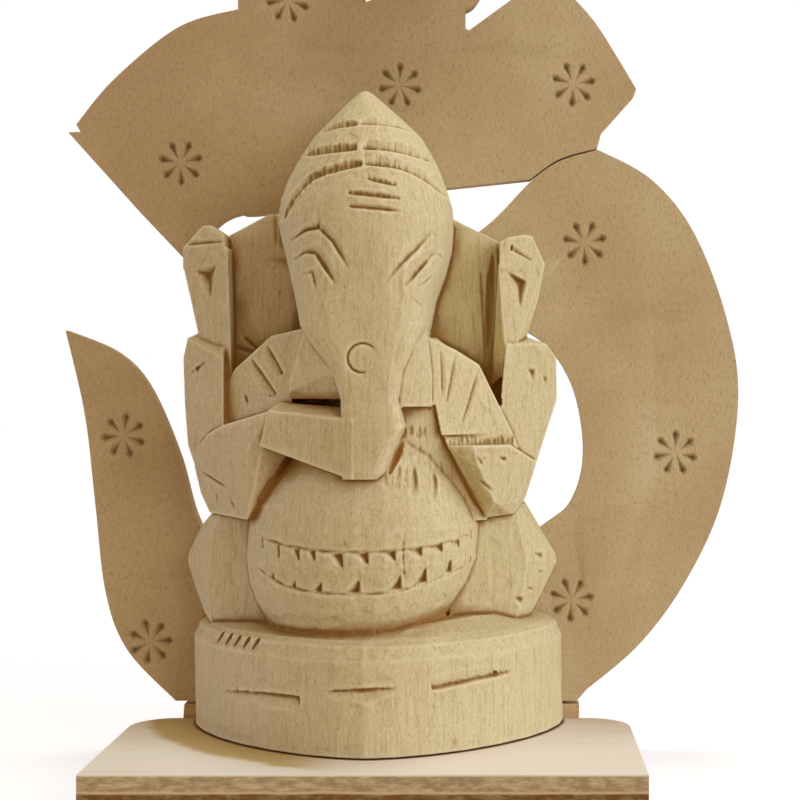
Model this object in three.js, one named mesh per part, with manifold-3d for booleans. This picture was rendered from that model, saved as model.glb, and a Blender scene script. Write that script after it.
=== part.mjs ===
import * as THREE from "three";
import { ConvexGeometry } from "three/addons/geometries/ConvexGeometry.js";
import { mergeVertices } from "three/addons/utils/BufferGeometryUtils.js";
import Module from "manifold-3d";

// A seated wooden Ganesha, chip-carved with its plinth from one half-round block, on a plywood board
// in front of a thin panel sawn in the outline of an Om.
// Millimetres. X runs to the viewer's right, Y away from the viewer, Z up.
// The origin is the centre of the board's underside.

// Board and rail
const BOARD_WIDTH = 150;
const BOARD_DEPTH = 72.5;
const BOARD_THICKNESS = 10;
const BOARD_BACK_CORNER = 12.5;
const RAIL_LEFT = -62;
const RAIL_RIGHT = 60.3;
const RAIL_HEIGHT = 14.6;
const RAIL_CROWN = 0.2;
const RAIL_TO_PANEL = 0.4;
const GLUE_GAP = 0.3;

// Panels
const PANEL_THICKNESS = 5.5;
const PANEL_FRONT = BOARD_DEPTH / 2 + GLUE_GAP;
const FLOWER_PETALS = 7;
const FLOWER_RADIUS = 7.2;
const FLOWER_DEPTH = 1.5;
const PETAL_START = 0.9;
const PETAL_WIDTH = 3.1;
const PETAL_SHOULDER = 0.8;

// Half-round block of the figure
const BLOCK_HALF_WIDTH = 55.8;
const BLOCK_DEPTH = 56;
const BLOCK_SIDE = 4;
const BLOCK_ROUNDNESS = 1.63;
const FIGURE_CENTRE_X = -0.7;
const FIGURE_BACK = BOARD_DEPTH / 2;
const FIGURE_FOOT = BOARD_THICKNESS + GLUE_GAP;

// Extra height of every cutter over the wood, so that it breaks the surface cleanly
const LIFT = 0.8;
// Steepest slope of the wood that a cutter's rim still follows
const STEEPEST = 1.4;

const wasm = await Module();
wasm.setup();

// Solids

// A closed mesh as a solid for joining and cutting.
function solidOf(geometry) {
  const bare = geometry.clone();
  bare.deleteAttribute("normal");
  bare.deleteAttribute("uv");
  const merged = mergeVertices(bare, 1e-4);
  return new wasm.Manifold(
    new wasm.Mesh({
      numProp: 3,
      vertProperties: new Float32Array(merged.attributes.position.array),
      triVerts: new Uint32Array(merged.index.array),
    }),
  );
}

// The solid's surface as a three.js geometry.
function geometryOf(solid) {
  const mesh = solid.getMesh();
  const geometry = new THREE.BufferGeometry();
  geometry.setAttribute("position", new THREE.BufferAttribute(mesh.vertProperties, 3));
  geometry.setIndex(new THREE.BufferAttribute(mesh.triVerts, 1));
  return geometry;
}

const joined = (solids) => solids.reduce((whole, next) => whole.add(next));
const cut = (solid, cutters) => solid.subtract(joined(cutters));
const hull = (points) => solidOf(new ConvexGeometry(points));

// The largest body, without the crumbs that crossing cuts can leave.
function withoutCrumbs(solid) {
  return solid.decompose().reduce((kept, body) => (body.volume() > kept.volume() ? body : kept));
}

// Turns [x, forward, z] of the figure into the part's frame. forward grows from the flat back to the viewer.
function figurePoint([x, forward, z]) {
  return new THREE.Vector3(FIGURE_CENTRE_X + x, FIGURE_BACK - forward, z);
}

// A convex form between its front corners and their feet on a plane nearer the back.
function form(corners, back = 0) {
  const feet = corners.map(([x, , z]) => [x, back, z]);
  return hull([...corners, ...feet].map(figurePoint));
}

// A closed skin over rings of [x, forward, z] with equal counts, capped at both ends by a fan.
function loft(rings) {
  const count = rings[0].length;
  const positions = [];
  const indices = [];
  const middles = [rings[0], rings[rings.length - 1]].map((ring) =>
    ring.reduce((sum, p) => sum.map((v, i) => v + p[i] / count), [0, 0, 0]),
  );
  for (const p of [...rings.flat(), ...middles]) positions.push(...figurePoint(p).toArray());
  const lowMiddle = rings.length * count;
  for (let ring = 0; ring + 1 < rings.length; ring++) {
    for (let i = 0; i < count; i++) {
      const a = ring * count + i;
      const b = ring * count + ((i + 1) % count);
      indices.push(a, b, b + count, a, b + count, a + count);
    }
  }
  for (let i = 0; i < count; i++) {
    const next = (i + 1) % count;
    const top = (rings.length - 1) * count;
    indices.push(lowMiddle, next, i);
    indices.push(lowMiddle + 1, top + i, top + next);
  }
  const geometry = new THREE.BufferGeometry();
  geometry.setAttribute("position", new THREE.Float32BufferAttribute(positions, 3));
  geometry.setIndex(indices);
  return solidOf(geometry);
}

// A D-shaped ring at height z: flat at the back, straight sides to side, then round to front.
function roundFront({ z, centre, half, side, front, power = 2, steps = 12 }) {
  const ring = [[centre - half, 0, z]];
  for (let i = 0; i <= steps; i++) {
    const turn = (Math.PI * i) / steps;
    const across = Math.sign(Math.cos(turn)) * Math.abs(Math.cos(turn)) ** (2 / power);
    const along = Math.sin(turn) ** (2 / power);
    ring.push([centre - half * across, side + (front - side) * along, z]);
  }
  ring.push([centre + half, 0, z]);
  return ring;
}

// Surface of the wood in front of a place, found by looking along Y
function surfaceOf(solid) {
  const mesh = new THREE.Mesh(geometryOf(solid), new THREE.MeshBasicMaterial({ side: THREE.DoubleSide }));
  const ray = new THREE.Raycaster();
  const towardsBack = new THREE.Vector3(0, 1, 0);
  return (x, z) => {
    ray.set(new THREE.Vector3(FIGURE_CENTRE_X + x, -BOARD_DEPTH * 2, z), towardsBack);
    const hit = ray.intersectObject(mesh)[0];
    return hit ? FIGURE_BACK - hit.point.y : 0;
  };
}

// Cutters for knife work. Each follows the wood's surface, given as forward = surface(x, z).

// A triangular chip: corners [x, z] on the surface, and the place and depth of its deepest point.
function chip(surface, corners, [deepX, deepZ], depth) {
  const spread = (depth + LIFT) / depth;
  const rim = corners.map(([x, z]) => [
    deepX + (x - deepX) * spread,
    surface(x, z) + LIFT,
    deepZ + (z - deepZ) * spread,
  ]);
  return hull([...rim, [deepX, surface(deepX, deepZ) - depth, deepZ]].map(figurePoint));
}

// A V groove whose deepest line follows a path of [x, z]. left and right are how far it opens to each side of
// the path, so that one wall can be steep and the other a long paring. ends is the share of it left at the
// path's first and last places, and taper the number of steps over which it grows from there to the whole.
function groove(surface, path, { left, right, depth, ends = [0.15, 0.15], taper = 1 }) {
  const last = path.length - 1;
  const grown = (steps, end) => Math.min(1, end + ((1 - end) * steps) / taper);
  const sections = path.map(([x, z], i) => {
    const before = path[Math.max(i - 1, 0)];
    const after = path[Math.min(i + 1, last)];
    const length = Math.hypot(after[0] - before[0], after[1] - before[1]);
    const across = [(before[1] - after[1]) / length, (after[0] - before[0]) / length];
    const share = Math.min(grown(i, ends[0]), grown(last - i, ends[1]));
    const deep = depth * share;
    const level = surface(x, z);
    const spread = (deep + LIFT) / deep;
    const rim = (offset) => {
      const [aside, up] = across.map((part) => part * offset * share);
      const slope = surface(x + aside, z + up) - level;
      const most = Math.abs(offset) * share * STEEPEST;
      return [x + aside * spread, level + THREE.MathUtils.clamp(slope, -most, most) + LIFT, z + up * spread];
    };
    return [rim(left), rim(-right), [x, level - deep, z]];
  });
  const links = [];
  for (let i = 0; i < last; i++) links.push(hull([...sections[i], ...sections[i + 1]].map(figurePoint)));
  return joined(links);
}

// Points on a straight run, ends included.
function run([x0, z0], [x1, z1], steps) {
  return Array.from({ length: steps + 1 }, (_, i) => [
    x0 + ((x1 - x0) * i) / steps,
    z0 + ((z1 - z0) * i) / steps,
  ]);
}

// Points on a broken line, close enough together to follow a rounded surface.
function along(places) {
  const pace = 2.6;
  const parts = places.slice(1).map((end, i) => {
    const steps = Math.ceil(Math.hypot(end[0] - places[i][0], end[1] - places[i][1]) / pace);
    return run(places[i], end, steps).slice(1);
  });
  return [places[0], ...parts.flat()];
}

// Points along a smooth curve through a few places.
function curve(places, steps) {
  const spline = new THREE.SplineCurve(places.map(([x, z]) => new THREE.Vector2(x, z)));
  return spline.getPoints(steps).map((p) => [p.x, p.y]);
}

// Board, rail and panels

function boardShape() {
  const halfWidth = BOARD_WIDTH / 2;
  const halfDepth = BOARD_DEPTH / 2;
  const shape = new THREE.Shape();
  shape.moveTo(-halfWidth, -halfDepth);
  shape.lineTo(halfWidth, -halfDepth);
  shape.lineTo(halfWidth, halfDepth - BOARD_BACK_CORNER);
  shape.absarc(
    halfWidth - BOARD_BACK_CORNER,
    halfDepth - BOARD_BACK_CORNER,
    BOARD_BACK_CORNER,
    0,
    Math.PI / 2,
  );
  shape.absarc(
    BOARD_BACK_CORNER - halfWidth,
    halfDepth - BOARD_BACK_CORNER,
    BOARD_BACK_CORNER,
    Math.PI / 2,
    Math.PI,
  );
  shape.closePath();
  return shape;
}

// An outline in X and Z, sawn from sheet: its front face at PANEL_FRONT, its back one thickness behind.
function sawn(shape, curveSegments) {
  const geometry = new THREE.ExtrudeGeometry(shape, {
    depth: PANEL_THICKNESS,
    bevelEnabled: false,
    curveSegments,
  });
  geometry.rotateX(Math.PI / 2);
  geometry.translate(0, PANEL_FRONT + PANEL_THICKNESS, 0);
  return solidOf(geometry);
}

function railShape() {
  const shape = new THREE.Shape();
  shape.moveTo(RAIL_LEFT, 0);
  shape.lineTo(RAIL_RIGHT, 0);
  shape.lineTo(RAIL_RIGHT, RAIL_HEIGHT - 2 * RAIL_CROWN);
  shape.quadraticCurveTo(0, RAIL_HEIGHT + RAIL_CROWN, RAIL_LEFT + 1, RAIL_HEIGHT - 2 * RAIL_CROWN);
  shape.closePath();
  return shape;
}

const through = (shape, places) => shape.splineThru(places.map(([x, z]) => new THREE.Vector2(x, z)));

function lowerPanelShape() {
  const tailTip = [-97.5, 129];
  const bowlFoot = RAIL_HEIGHT + RAIL_CROWN + RAIL_TO_PANEL;
  const shape = new THREE.Shape();
  shape.moveTo(...tailTip);
  through(shape, [[-91.6, 103.3], [-88.4, 76], [-85.2, 48.6], [-78.5, 30.8], [-63.6, bowlFoot]]);
  shape.lineTo(59.6, bowlFoot);
  shape.lineTo(62.4, 18.5);
  through(shape, [[79.2, 33], [93.4, 52.6], [104.3, 77], [109.2, 108], [105.7, 132.5], [95.6, 159],
    [82.6, 175.3], [66.1, 184.5]]);
  through(shape, [[54.6, 181.1], [45.6, 174.9], [31.2, 160.6], [8, 146], [-12, 144]]);
  shape.lineTo(-12, 130);
  through(shape, [[20, 133], [44.6, 128.4], [57.3, 114.2], [61.7, 93], [58.2, 77], [48.4, 68.3],
    [20, 49], [-15, 43], [-44, 52], [-56.4, 69.5], [-62.9, 91], [-72.1, 111.9], [-82, 122.4], tailTip]);
  return shape;
}

function upperPanelShape() {
  const dotCentre = [-7.5, 245.5];
  const dotRadius = 8;
  const neckHalf = 2.6;
  const shape = new THREE.Shape();
  shape.moveTo(-94.2, 192.3);
  shape.lineTo(-92.9, 190);
  shape.lineTo(-96.7, 189.9);
  shape.lineTo(-74.5, 165.2);
  shape.lineTo(-59.6, 149.5);
  through(shape, [[-51.8, 160.4], [-44.5, 164.6], [-35.2, 164.9], [19.4, 172.7]]);
  shape.lineTo(45.2, 175.4);
  through(shape, [[54.4, 181.7], [65.8, 184.9]]);
  shape.lineTo(67.2, 190);
  shape.lineTo(77.2, 201.2);
  shape.lineTo(77.8, 203.2);
  through(shape, [[71.8, 213.3], [63.8, 225.4], [51, 239]]);
  shape.lineTo(26.5, 221.2);
  shape.lineTo(25.3, 221.8);
  shape.lineTo(25.3, 227.4);
  through(shape, [[28.9, 230.4], [34.8, 243], [34, 258]]);
  through(shape, [[21, 240], [-3.9, 230.4], [dotCentre[0] + neckHalf - 1, 230.5]]);
  const neckTurn = Math.asin(neckHalf / dotRadius);
  const down = -Math.PI / 2;
  shape.absarc(...dotCentre, dotRadius, down + neckTurn, down - neckTurn + 2 * Math.PI);
  through(shape, [[dotCentre[0] - neckHalf - 1, 231], [-29, 241], [-45, 258]]);
  through(shape, [[-47, 243], [-44.5, 231]]);
  shape.lineTo(-44.5, 227.7);
  through(shape, [[-62.8, 222.2], [-82.4, 206.4], [-94.2, 192.3]]);
  return shape;
}

// A flower of gouged petals, each narrow at the middle and wide and deep at its outer end.
function flower([x, z], turn) {
  const panelFront = () => FIGURE_BACK - PANEL_FRONT;
  const petals = [];
  for (let i = 0; i < FLOWER_PETALS; i++) {
    const angle = turn + (2 * Math.PI * i) / FLOWER_PETALS;
    const place = (radius, aside) => [
      x - FIGURE_CENTRE_X + radius * Math.cos(angle) - aside * Math.sin(angle),
      z + radius * Math.sin(angle) + aside * Math.cos(angle),
    ];
    const rim = [
      place(PETAL_START, 0),
      place(FLOWER_RADIUS * PETAL_SHOULDER, PETAL_WIDTH / 2),
      place(FLOWER_RADIUS, PETAL_WIDTH / 5),
      place(FLOWER_RADIUS, -PETAL_WIDTH / 5),
      place(FLOWER_RADIUS * PETAL_SHOULDER, -PETAL_WIDTH / 2),
    ];
    petals.push(chip(panelFront, rim, place(FLOWER_RADIUS * PETAL_SHOULDER, 0), FLOWER_DEPTH));
  }
  return joined(petals);
}

const LOWER_FLOWERS = [[61.8, 155.8], [89.7, 91.3], [57.8, 46.2], [-79.8, 96.6], [-71.5, 33.3]];
const UPPER_FLOWERS = [[-62.3, 180.4], [5, 204.3], [58.4, 204.7], [-29.4, 230.4]];
const flowers = (centres) => centres.map((centre, i) => flower(centre, 0.25 + 0.4 * i));

// Figure

// The plinth: the block's own half-round. Its top is level at the left and higher at the right, and its rim
// is rounded off from the front face to the top.
function plinth() {
  const lean = -0.5;
  const faceTop = 36.5;
  const shoulder = [{ share: 0.97, height: 40.4 }, { share: 0.93, height: 41.8 }];
  const topShare = 0.8;
  const middle = { across: 0.5, forward: 0.3 };
  const heights = [
    [-60, 42.4], [-40, 43], [-12, 42], [2, 42.8], [15, 44.8], [30, 45.6], [45, 44.4], [60, 43],
  ];
  const topAt = (x) => {
    const i = heights.findIndex((place) => place[0] > x);
    const [low, high] = [heights[i - 1], heights[i]];
    return low[1] + ((high[1] - low[1]) * (x - low[0])) / (high[0] - low[0]);
  };
  const foot = roundFront({
    z: FIGURE_FOOT,
    centre: 0,
    half: BLOCK_HALF_WIDTH,
    side: BLOCK_SIDE,
    front: BLOCK_DEPTH,
    power: BLOCK_ROUNDNESS,
    steps: 16,
  });
  const inset = (share, heightAt) =>
    foot.map(([x, forward]) => [x * share + lean, forward * share, heightAt(x * share)]);
  return loft([
    foot,
    inset(1, () => faceTop),
    ...shoulder.map(({ share, height }) => inset(share, () => height)),
    inset(topShare, topAt),
    foot.map(([x, forward]) => [x * middle.across, forward * middle.forward, topAt(x * middle.across)]),
  ]);
}

// The belly: an egg leaning on the torso, a little to the left at its foot. Rows are height, middle, half
// width and front.
function belly() {
  const rows = [
    [40.5, -5, 23, 43.5], [44, -5.6, 27, 47], [49, -5.2, 30.2, 49.4], [55, -4.4, 33, 51],
    [62, -3.5, 34.6, 52.5], [72, -2.8, 34.5, 52.8], [78, -3.2, 32.8, 51.8], [85, -2.6, 28.6, 50],
    [92, -1.9, 22.8, 47.5], [99, -1.7, 15, 44], [103, -1.7, 9, 40],
  ];
  return loft(
    rows.map(([z, centre, half, front]) =>
      roundFront({ z, centre, half, side: 14, front, power: 2.15, steps: 14 }),
    ),
  );
}

// Rounded rings from rows of height, middle, half width, straight side, front and how flat the front is.
function rounded(rows) {
  return loft(
    rows.map(([z, centre, half, side, front, power]) =>
      roundFront({ z, centre, half, side, front, power, steps: 14 }),
    ),
  );
}

// Trunk, face and crown in one. The trunk hangs from the forehead with a flat front between two ridges.
function head() {
  return rounded([
    [86.2, -1.9, 4.9, 48, 54.6, 4], [88, -1, 6, 48, 55.1, 4], [100.5, 1.5, 8.6, 48.5, 55.4, 4.5],
    [108, 0.7, 7.9, 48, 54.7, 4.5], [116, 0.1, 9.9, 47, 54, 4], [124, -1.3, 15, 42, 53.3, 3.6],
    [129, -1.9, 18, 32, 52.8, 3.8], [137, -2.2, 19.8, 22, 52.1, 3.6], [145, -1.9, 22.4, 21, 51.7, 2.9],
    [152, -2.1, 24.3, 20, 51.3, 2.4], [159, -2.7, 25.4, 20, 50.6, 2.3], [166, -2.7, 24.9, 19, 49.4, 2.2],
    [172.5, -2.5, 22.6, 18, 47.4, 2.2], [179, -2.3, 19.6, 16, 44.4, 2.2], [185, -2.1, 15.9, 14, 40.5, 2.2],
    [190, -2.3, 11, 13, 35.5, 2.2], [194.5, -2.7, 6.4, 12, 30, 2.2], [198, -2.8, 2.6, 11, 24, 2.2],
  ]);
}

function neck() {
  return rounded([
    [104, -2.2, 10, 22, 36, 2.2], [118, -2.2, 16, 22, 44, 2.6], [128, -2.2, 18.2, 22, 46, 2.6],
  ]);
}

function forms() {
  return {
    slab: form([[-47, 9, 41], [-47, 9, 130], [-45, 9, 157.2], [-33.1, 9, 163.6], [22.2, 9, 162.4],
      [31.3, 9, 157.8], [38, 9, 154.6], [44, 9, 41]]),
    torso: form([[-36, 19, 40.5], [-43, 20, 75], [-43, 16, 112], [-22, 22, 127], [18, 22, 126],
      [30.5, 17, 116.5], [36.5, 16, 104], [41, 19, 78], [34, 19, 40.5]]),
    rightSide: form([[6, 38, 109], [20.5, 34, 109], [24.5, 32, 93], [33, 27, 73], [20, 33, 73],
      [6, 40, 92]], 18),
    leftEar: form([[-18, 30, 129], [-30.2, 23, 126.6], [-36.6, 21, 121], [-41.5, 19, 117], [-44, 18, 113],
      [-48, 17, 100], [-30, 29, 100], [-23, 34, 107]]),
    rightEar: form([[14, 34, 127], [23.8, 27, 122.4], [30.5, 24, 118.2], [35.2, 24, 108], [40.5, 23, 97.9],
      [20, 37, 97.9]]),
    leftTusk: form([[-18.2, 45, 127], [-22.8, 40, 113], [-23, 37.5, 108.2], [-23, 39.5, 110.4],
      [-6, 48, 108.2], [-6, 50, 110.4], [-9, 51.5, 116]], 20),
    rightTusk: form([[15.6, 40, 131], [17.4, 41.5, 115], [17.4, 40.5, 106], [7.5, 48, 106], [8, 50, 116],
      [13, 47.5, 124]], 20),
    rightStrip: form([[20, 34.5, 99], [40, 23, 99], [42, 22, 94], [22, 36.5, 94]]),
    rightNeck: form([[16, 36, 107], [16, 36, 98], [6, 40, 98], [6, 40, 107]], 18),
    trunkArm: form([[-3.6, 55.4, 102.6], [-3.6, 55.2, 86.1], [-28, 45.5, 105], [-30.5, 44.5, 95],
      [-4, 46, 105.6], [-26, 38, 107.2]], 24),
    leftHand: form([[-27.5, 45.5, 105], [-35.8, 37.5, 102.6], [-44.5, 28, 100.2], [-49.5, 21, 97.6],
      [-54.2, 14, 92.4], [-54.5, 14, 87.8], [-52.4, 15, 80], [-49.2, 18, 74.4], [-35.4, 34.5, 73.6],
      [-34.6, 40, 93.8], [-24.5, 36, 91.6], [-33.6, 30, 77]], 8),
    rightHand: form([[21.8, 37, 94.9], [29, 38.5, 94.9], [39.5, 31.5, 94.9], [47.5, 20, 89.5], [44.2, 21, 79],
      [41.6, 26, 78.2], [40.6, 24.5, 74.6], [32.6, 28, 73.8], [35, 33, 78.6], [31, 37.4, 88],
      [26.3, 33, 86.6]], 8),
    leftUpperArm: form([[-53, 8, 128.4], [-57.6, 8.5, 126.4], [-59, 8, 120.5], [-58.2, 10, 107],
      [-57, 11, 94], [-51, 17, 80], [-46, 12, 127], [-45, 19, 120], [-44, 24, 95], [-44, 22, 82]]),
    rightUpperArm: form([[43.6, 11, 127], [50.7, 10, 124.6], [53.7, 8.5, 120.5], [53.8, 9, 107.7],
      [43.8, 19, 78], [38.4, 18.5, 124], [37, 21.5, 109], [39.5, 24, 82]]),
    leftForearm: form([[-59, 8, 148], [-53, 9, 127], [-50, 11, 110], [-44, 17.5, 153],
      [-42.8, 16.5, 110]]),
    leftRearHand: form([[-59.1, 8, 147.4], [-59.1, 8, 153.8], [-56, 11, 155], [-52.4, 11.5, 160],
      [-49.6, 13, 160], [-45.4, 15.5, 157.2], [-44, 17.5, 148]]),
    rightForearm: form([[36.2, 17, 148], [34.2, 13, 112], [50.3, 8.5, 148.8], [49.7, 8.5, 145.6],
      [48.2, 9, 138], [44.2, 11, 125], [38.6, 18, 116]]),
    rightRearHand: form([[36.6, 16, 154.9], [39.4, 15.5, 156.2], [43.9, 13, 157.2], [46.4, 11, 156.9],
      [48.2, 10, 152.5], [50.3, 8.5, 148.6], [49, 9, 146], [36.4, 17.5, 147]]),
    leftLeg: form([[-45.2, 20, 77], [-48.6, 18, 68], [-50, 16.5, 52], [-49.5, 15.5, 42], [-52, 11, 44],
      [-55.2, 8, 51], [-57.9, 6.5, 58.8], [-57.6, 6, 61.6], [-53.8, 7, 69.4], [-47.5, 8, 77],
      [-25, 28, 43], [-31, 25, 74]]),
    rightLeg: form([[40.8, 21.5, 78], [44.7, 21, 61], [43.8, 20, 52], [41.6, 19, 43], [46, 12, 44],
      [50.9, 8, 53], [53.8, 7, 58.8], [53.5, 7, 61], [44.4, 9, 76.4], [21.5, 28, 43], [28, 26, 76]]),
  };
}

function figureBlank() {
  return joined([plinth(), belly(), head(), neck(), ...Object.values(forms())]);
}

// Three ledges round the crown, each stopped by a level cut and pared down to it from above. On the left they
// are short, deep notches and on the right long, shallow parings.
function crownSteps(surface) {
  const notch = { left: 2.6, right: 0.3, depth: 2.2, ends: [0.4, 0.8] };
  const paring = { left: 4.4, right: 0.3, depth: 1.6, ends: [0.4, 0.5] };
  return [
    groove(surface, curve([[-14.4, 184.4], [-8, 185.2], [-3.4, 185.5]], 4), notch),
    groove(surface, curve([[-3.2, 185.7], [4, 185.9], [11.4, 185.5]], 5), paring),
    groove(surface, curve([[-19, 177.4], [-12, 177.2], [-3.2, 177.8]], 5), notch),
    groove(surface, curve([[-2, 177.9], [6, 177.8], [17.4, 176.3]], 6), paring),
    groove(surface, curve([[-24.6, 158.5], [-21, 164.6], [-15.3, 169.7], [-8, 171.7], [-1.4, 173.2]], 8),
      notch),
    groove(surface, curve([[-1.4, 173.2], [6, 172.9], [11.7, 171.6], [17.2, 168.9], [22, 165.6]], 8),
      paring),
  ];
}

// Three marks on the forehead, and on each side two brow lines with the eye under them. Marks, brows and eyes
// are pared down from above to a line and stopped there.
function faceCuts(surface) {
  const mark = { left: 1.5, right: 0.3, depth: 1.5, ends: [0.7, 0.6] };
  const brow = { left: 2, right: 0.3, depth: 1.3, ends: [0.3, 0.15], taper: 4 };
  const innerBrow = { left: 2.4, right: 0.3, depth: 1.8, ends: [0.3, 0.15], taper: 3 };
  const eye = { left: 1.5, right: 0.3, depth: 1.2, taper: 2 };
  return [
    groove(surface, run([-0.3, 169], [8, 167.2], 2), mark),
    groove(surface, run([-5.6, 164.9], [9.1, 163.6], 2), mark),
    groove(surface, run([-5.2, 161.2], [9.1, 160.1], 2), mark),
    groove(surface, along([[-22.6, 152.4], [-17.7, 154.9], [-13.6, 155.4], [-9.7, 151.6], [-4, 142]]), brow),
    groove(surface, along([[-21.6, 146.8], [-17.5, 148.8], [-14.5, 148.4], [-8, 138.5]]), innerBrow),
    groove(surface, along([[-19.4, 142.6], [-15.5, 143], [-13.9, 136.6]]), eye),
    groove(surface, along([[5.4, 140.1], [10.2, 145.9], [14.8, 151.2], [17.6, 154.6], [20.4, 153.4]]), brow),
    groove(surface, along([[10.7, 138.9], [14, 143.5], [17, 147.3], [18.6, 149], [20.6, 148]]), innerBrow),
    groove(surface, along([[14.2, 138.4], [18, 142.8]]), eye),
    groove(surface, along([[11.6, 136.8], [15.6, 133.4]]), { left: 1.4, right: 0.3, depth: 0.8 }),
  ];
}

// A nearly closed ring pressed into the trunk.
function trunkRing(surface) {
  const centre = [-1, 119.5];
  const radius = 4.1;
  const steps = 8;
  const path = Array.from({ length: steps + 1 }, (_, i) => {
    const angle = Math.PI * (0.1 + (1.6 * i) / steps);
    return [centre[0] + radius * Math.cos(angle), centre[1] + radius * Math.sin(angle)];
  });
  return groove(surface, path, { left: 0.45, right: 0.45, depth: 0.5 });
}

// Pleats of the ears, lapped like slats. Each line is stopped towards the head and pared away outwards.
// Two slits lie below the left ear's pleats.
function earPleats(surface) {
  const leftPleat = { left: 4, right: 0.3, depth: 1.5, ends: [0.8, 0.4] };
  const rightPleat = { left: 0.3, right: 2.8, depth: 1, ends: [0.3, 0.4] };
  const slit = { left: 0.5, right: 0.9, depth: 1.4 };
  return [
    groove(surface, run([-25.8, 115.4], [-31.3, 124], 3), leftPleat),
    groove(surface, run([-27.6, 109.4], [-36, 120], 3), leftPleat),
    groove(surface, run([-33, 109.9], [-26.2, 108.2], 2), slit),
    groove(surface, run([-36.8, 104.8], [-38.5, 111.1], 2), slit),
    groove(surface, run([20.2, 105.8], [19.4, 123.6], 3), rightPleat),
    groove(surface, run([20.8, 105], [23.8, 121.6], 3), rightPleat),
    groove(surface, run([25, 98.8], [30.3, 117], 3), rightPleat),
  ];
}

function handCuts(surface) {
  const slit = { left: 0.3, right: 1.4, depth: 1.6 };
  const finger = { left: 0.6, right: 0.9, depth: 1 };
  return [
    groove(surface, run([-53.2, 87.4], [-40.6, 81.8], 3), slit),
    groove(surface, run([-46.6, 83], [-46.2, 76], 2), finger),
    groove(surface, run([-42.2, 81.2], [-39, 74.4], 2), { ...finger, right: 1.6 }),
    groove(surface, run([29.6, 86], [35.2, 81.6], 2), { ...finger, depth: 1.5 }),
  ];
}

// Small triangular chips beside the arms and on the right leg.
function scatteredChips(surface) {
  const steepness = 0.45;
  const chips = [
    { at: [-54.2, 116.6], size: 3 }, { at: [46.2, 115.8], size: 2.8, tall: 2 },
    { at: [50.2, 114], size: 2, tall: 2.2 }, { at: [32.1, 91], size: 1.8 }, { at: [37.7, 90.3], size: 3 },
    { at: [41.1, 91.7], size: 1.8 }, { at: [48.6, 60.8], size: 3.6 }, { at: [49.2, 55.8], size: 2.4 },
    { at: [46, 51], size: 2.8 }, { at: [42.6, 48], size: 3.6 },
  ];
  return chips.map(({ at: [x, z], size, tall = 1 }) =>
    chip(
      surface,
      [[x - size / 2, z + size / 2], [x + size / 2, z + size / 2], [x + size / 4, z + size * (0.5 - tall)]],
      [x, z + size / 4],
      size * steepness,
    ),
  );
}

// The belt: a sunk line above and below, with triangles hanging from one and standing on the other. Each
// triangle is given by its upright side, its width and its height.
function belt(surface) {
  const line = { left: 0.5, right: 0.6, depth: 0.7 };
  const steepness = 0.45;
  const upper = curve([[-34, 70], [-23, 67.4], [-6, 66.1], [11, 66.6], [24.5, 68.4], [30, 71]], 10);
  const lower = curve([[-33.4, 60.8], [-23, 56], [-8, 54.4], [6.2, 54.7], [17.5, 57], [28, 60.6]], 10);
  const hanging = [
    [-30.2, 2.4, 3.6], [-24.8, 2.2, 4.6], [-18.7, 3.6, 4], [-14.2, 3.2, 3.4], [-6.4, 5.4, 4.8],
    [0.5, 4.5, 3.8], [7.8, 3.8, 3], [14.9, 3.8, 2.8], [20.4, 3.6, 2.8], [25, 2.6, 2.8], [28.4, 2, 2.6],
  ];
  const standing = [
    [-26.6, 2.4, 2], [-20, 2.6, 2], [-12.4, 4, 3], [-1.9, 5.4, 4], [9.3, 4.6, 4.4], [16.1, 4.4, 4.8],
    [22.8, 3.4, 4.2], [28.2, 2, 2.4],
  ];
  const heightAt = (path, x) => {
    const i = Math.max(1, path.findIndex((p) => p[0] >= x));
    const [a, b] = [path[i - 1], path[i]];
    return a[1] + ((b[1] - a[1]) * (x - a[0])) / (b[0] - a[0]);
  };
  const triangles = (sizes, path, direction) =>
    sizes.map(([x, width, height]) => {
      const z = heightAt(path, x);
      const corners = [[x - width, heightAt(path, x - width)], [x, z], [x, z - height * direction]];
      const deepest = [x - width / 5, z - (height / 4) * direction];
      return chip(surface, corners, deepest, steepness * Math.min(width, 4));
    });
  return [
    groove(surface, upper, line),
    groove(surface, lower, line),
    ...triangles(hanging, upper, 1),
    ...triangles(standing, lower, -1),
  ];
}

// Knife strokes on the plinth: a row of slanting ticks and three long leaves.
function plinthCuts(surface) {
  const tick = { left: 0.5, right: 0.9, depth: 0.9, ends: [0.3, 0.3] };
  const leaves = [
    groove(surface, [[-43.6, 24.4], [-33.5, 25.6], [-25.5, 26], [-18.4, 26]],
      { left: 0.5, right: 4, depth: 2.2, ends: [0.15, 0.9], taper: 2 }),
    groove(surface, [[-12, 28.4], [-3, 29], [9, 29.5]], { left: 0.4, right: 3, depth: 1.4 }),
    groove(surface, [[17.8, 28.2], [28.4, 29.4], [41, 30.2]],
      { left: 3, right: 0.5, depth: 1.6, ends: [0.9, 0.15] }),
  ];
  const pace = 3;
  const ticks = Array.from({ length: 5 }, (_, i) => run([pace * i - 45.6, 37], [pace * i - 43, 41.2], 2));
  return [...leaves, ...ticks.map((places) => groove(surface, places, tick))];
}

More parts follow.
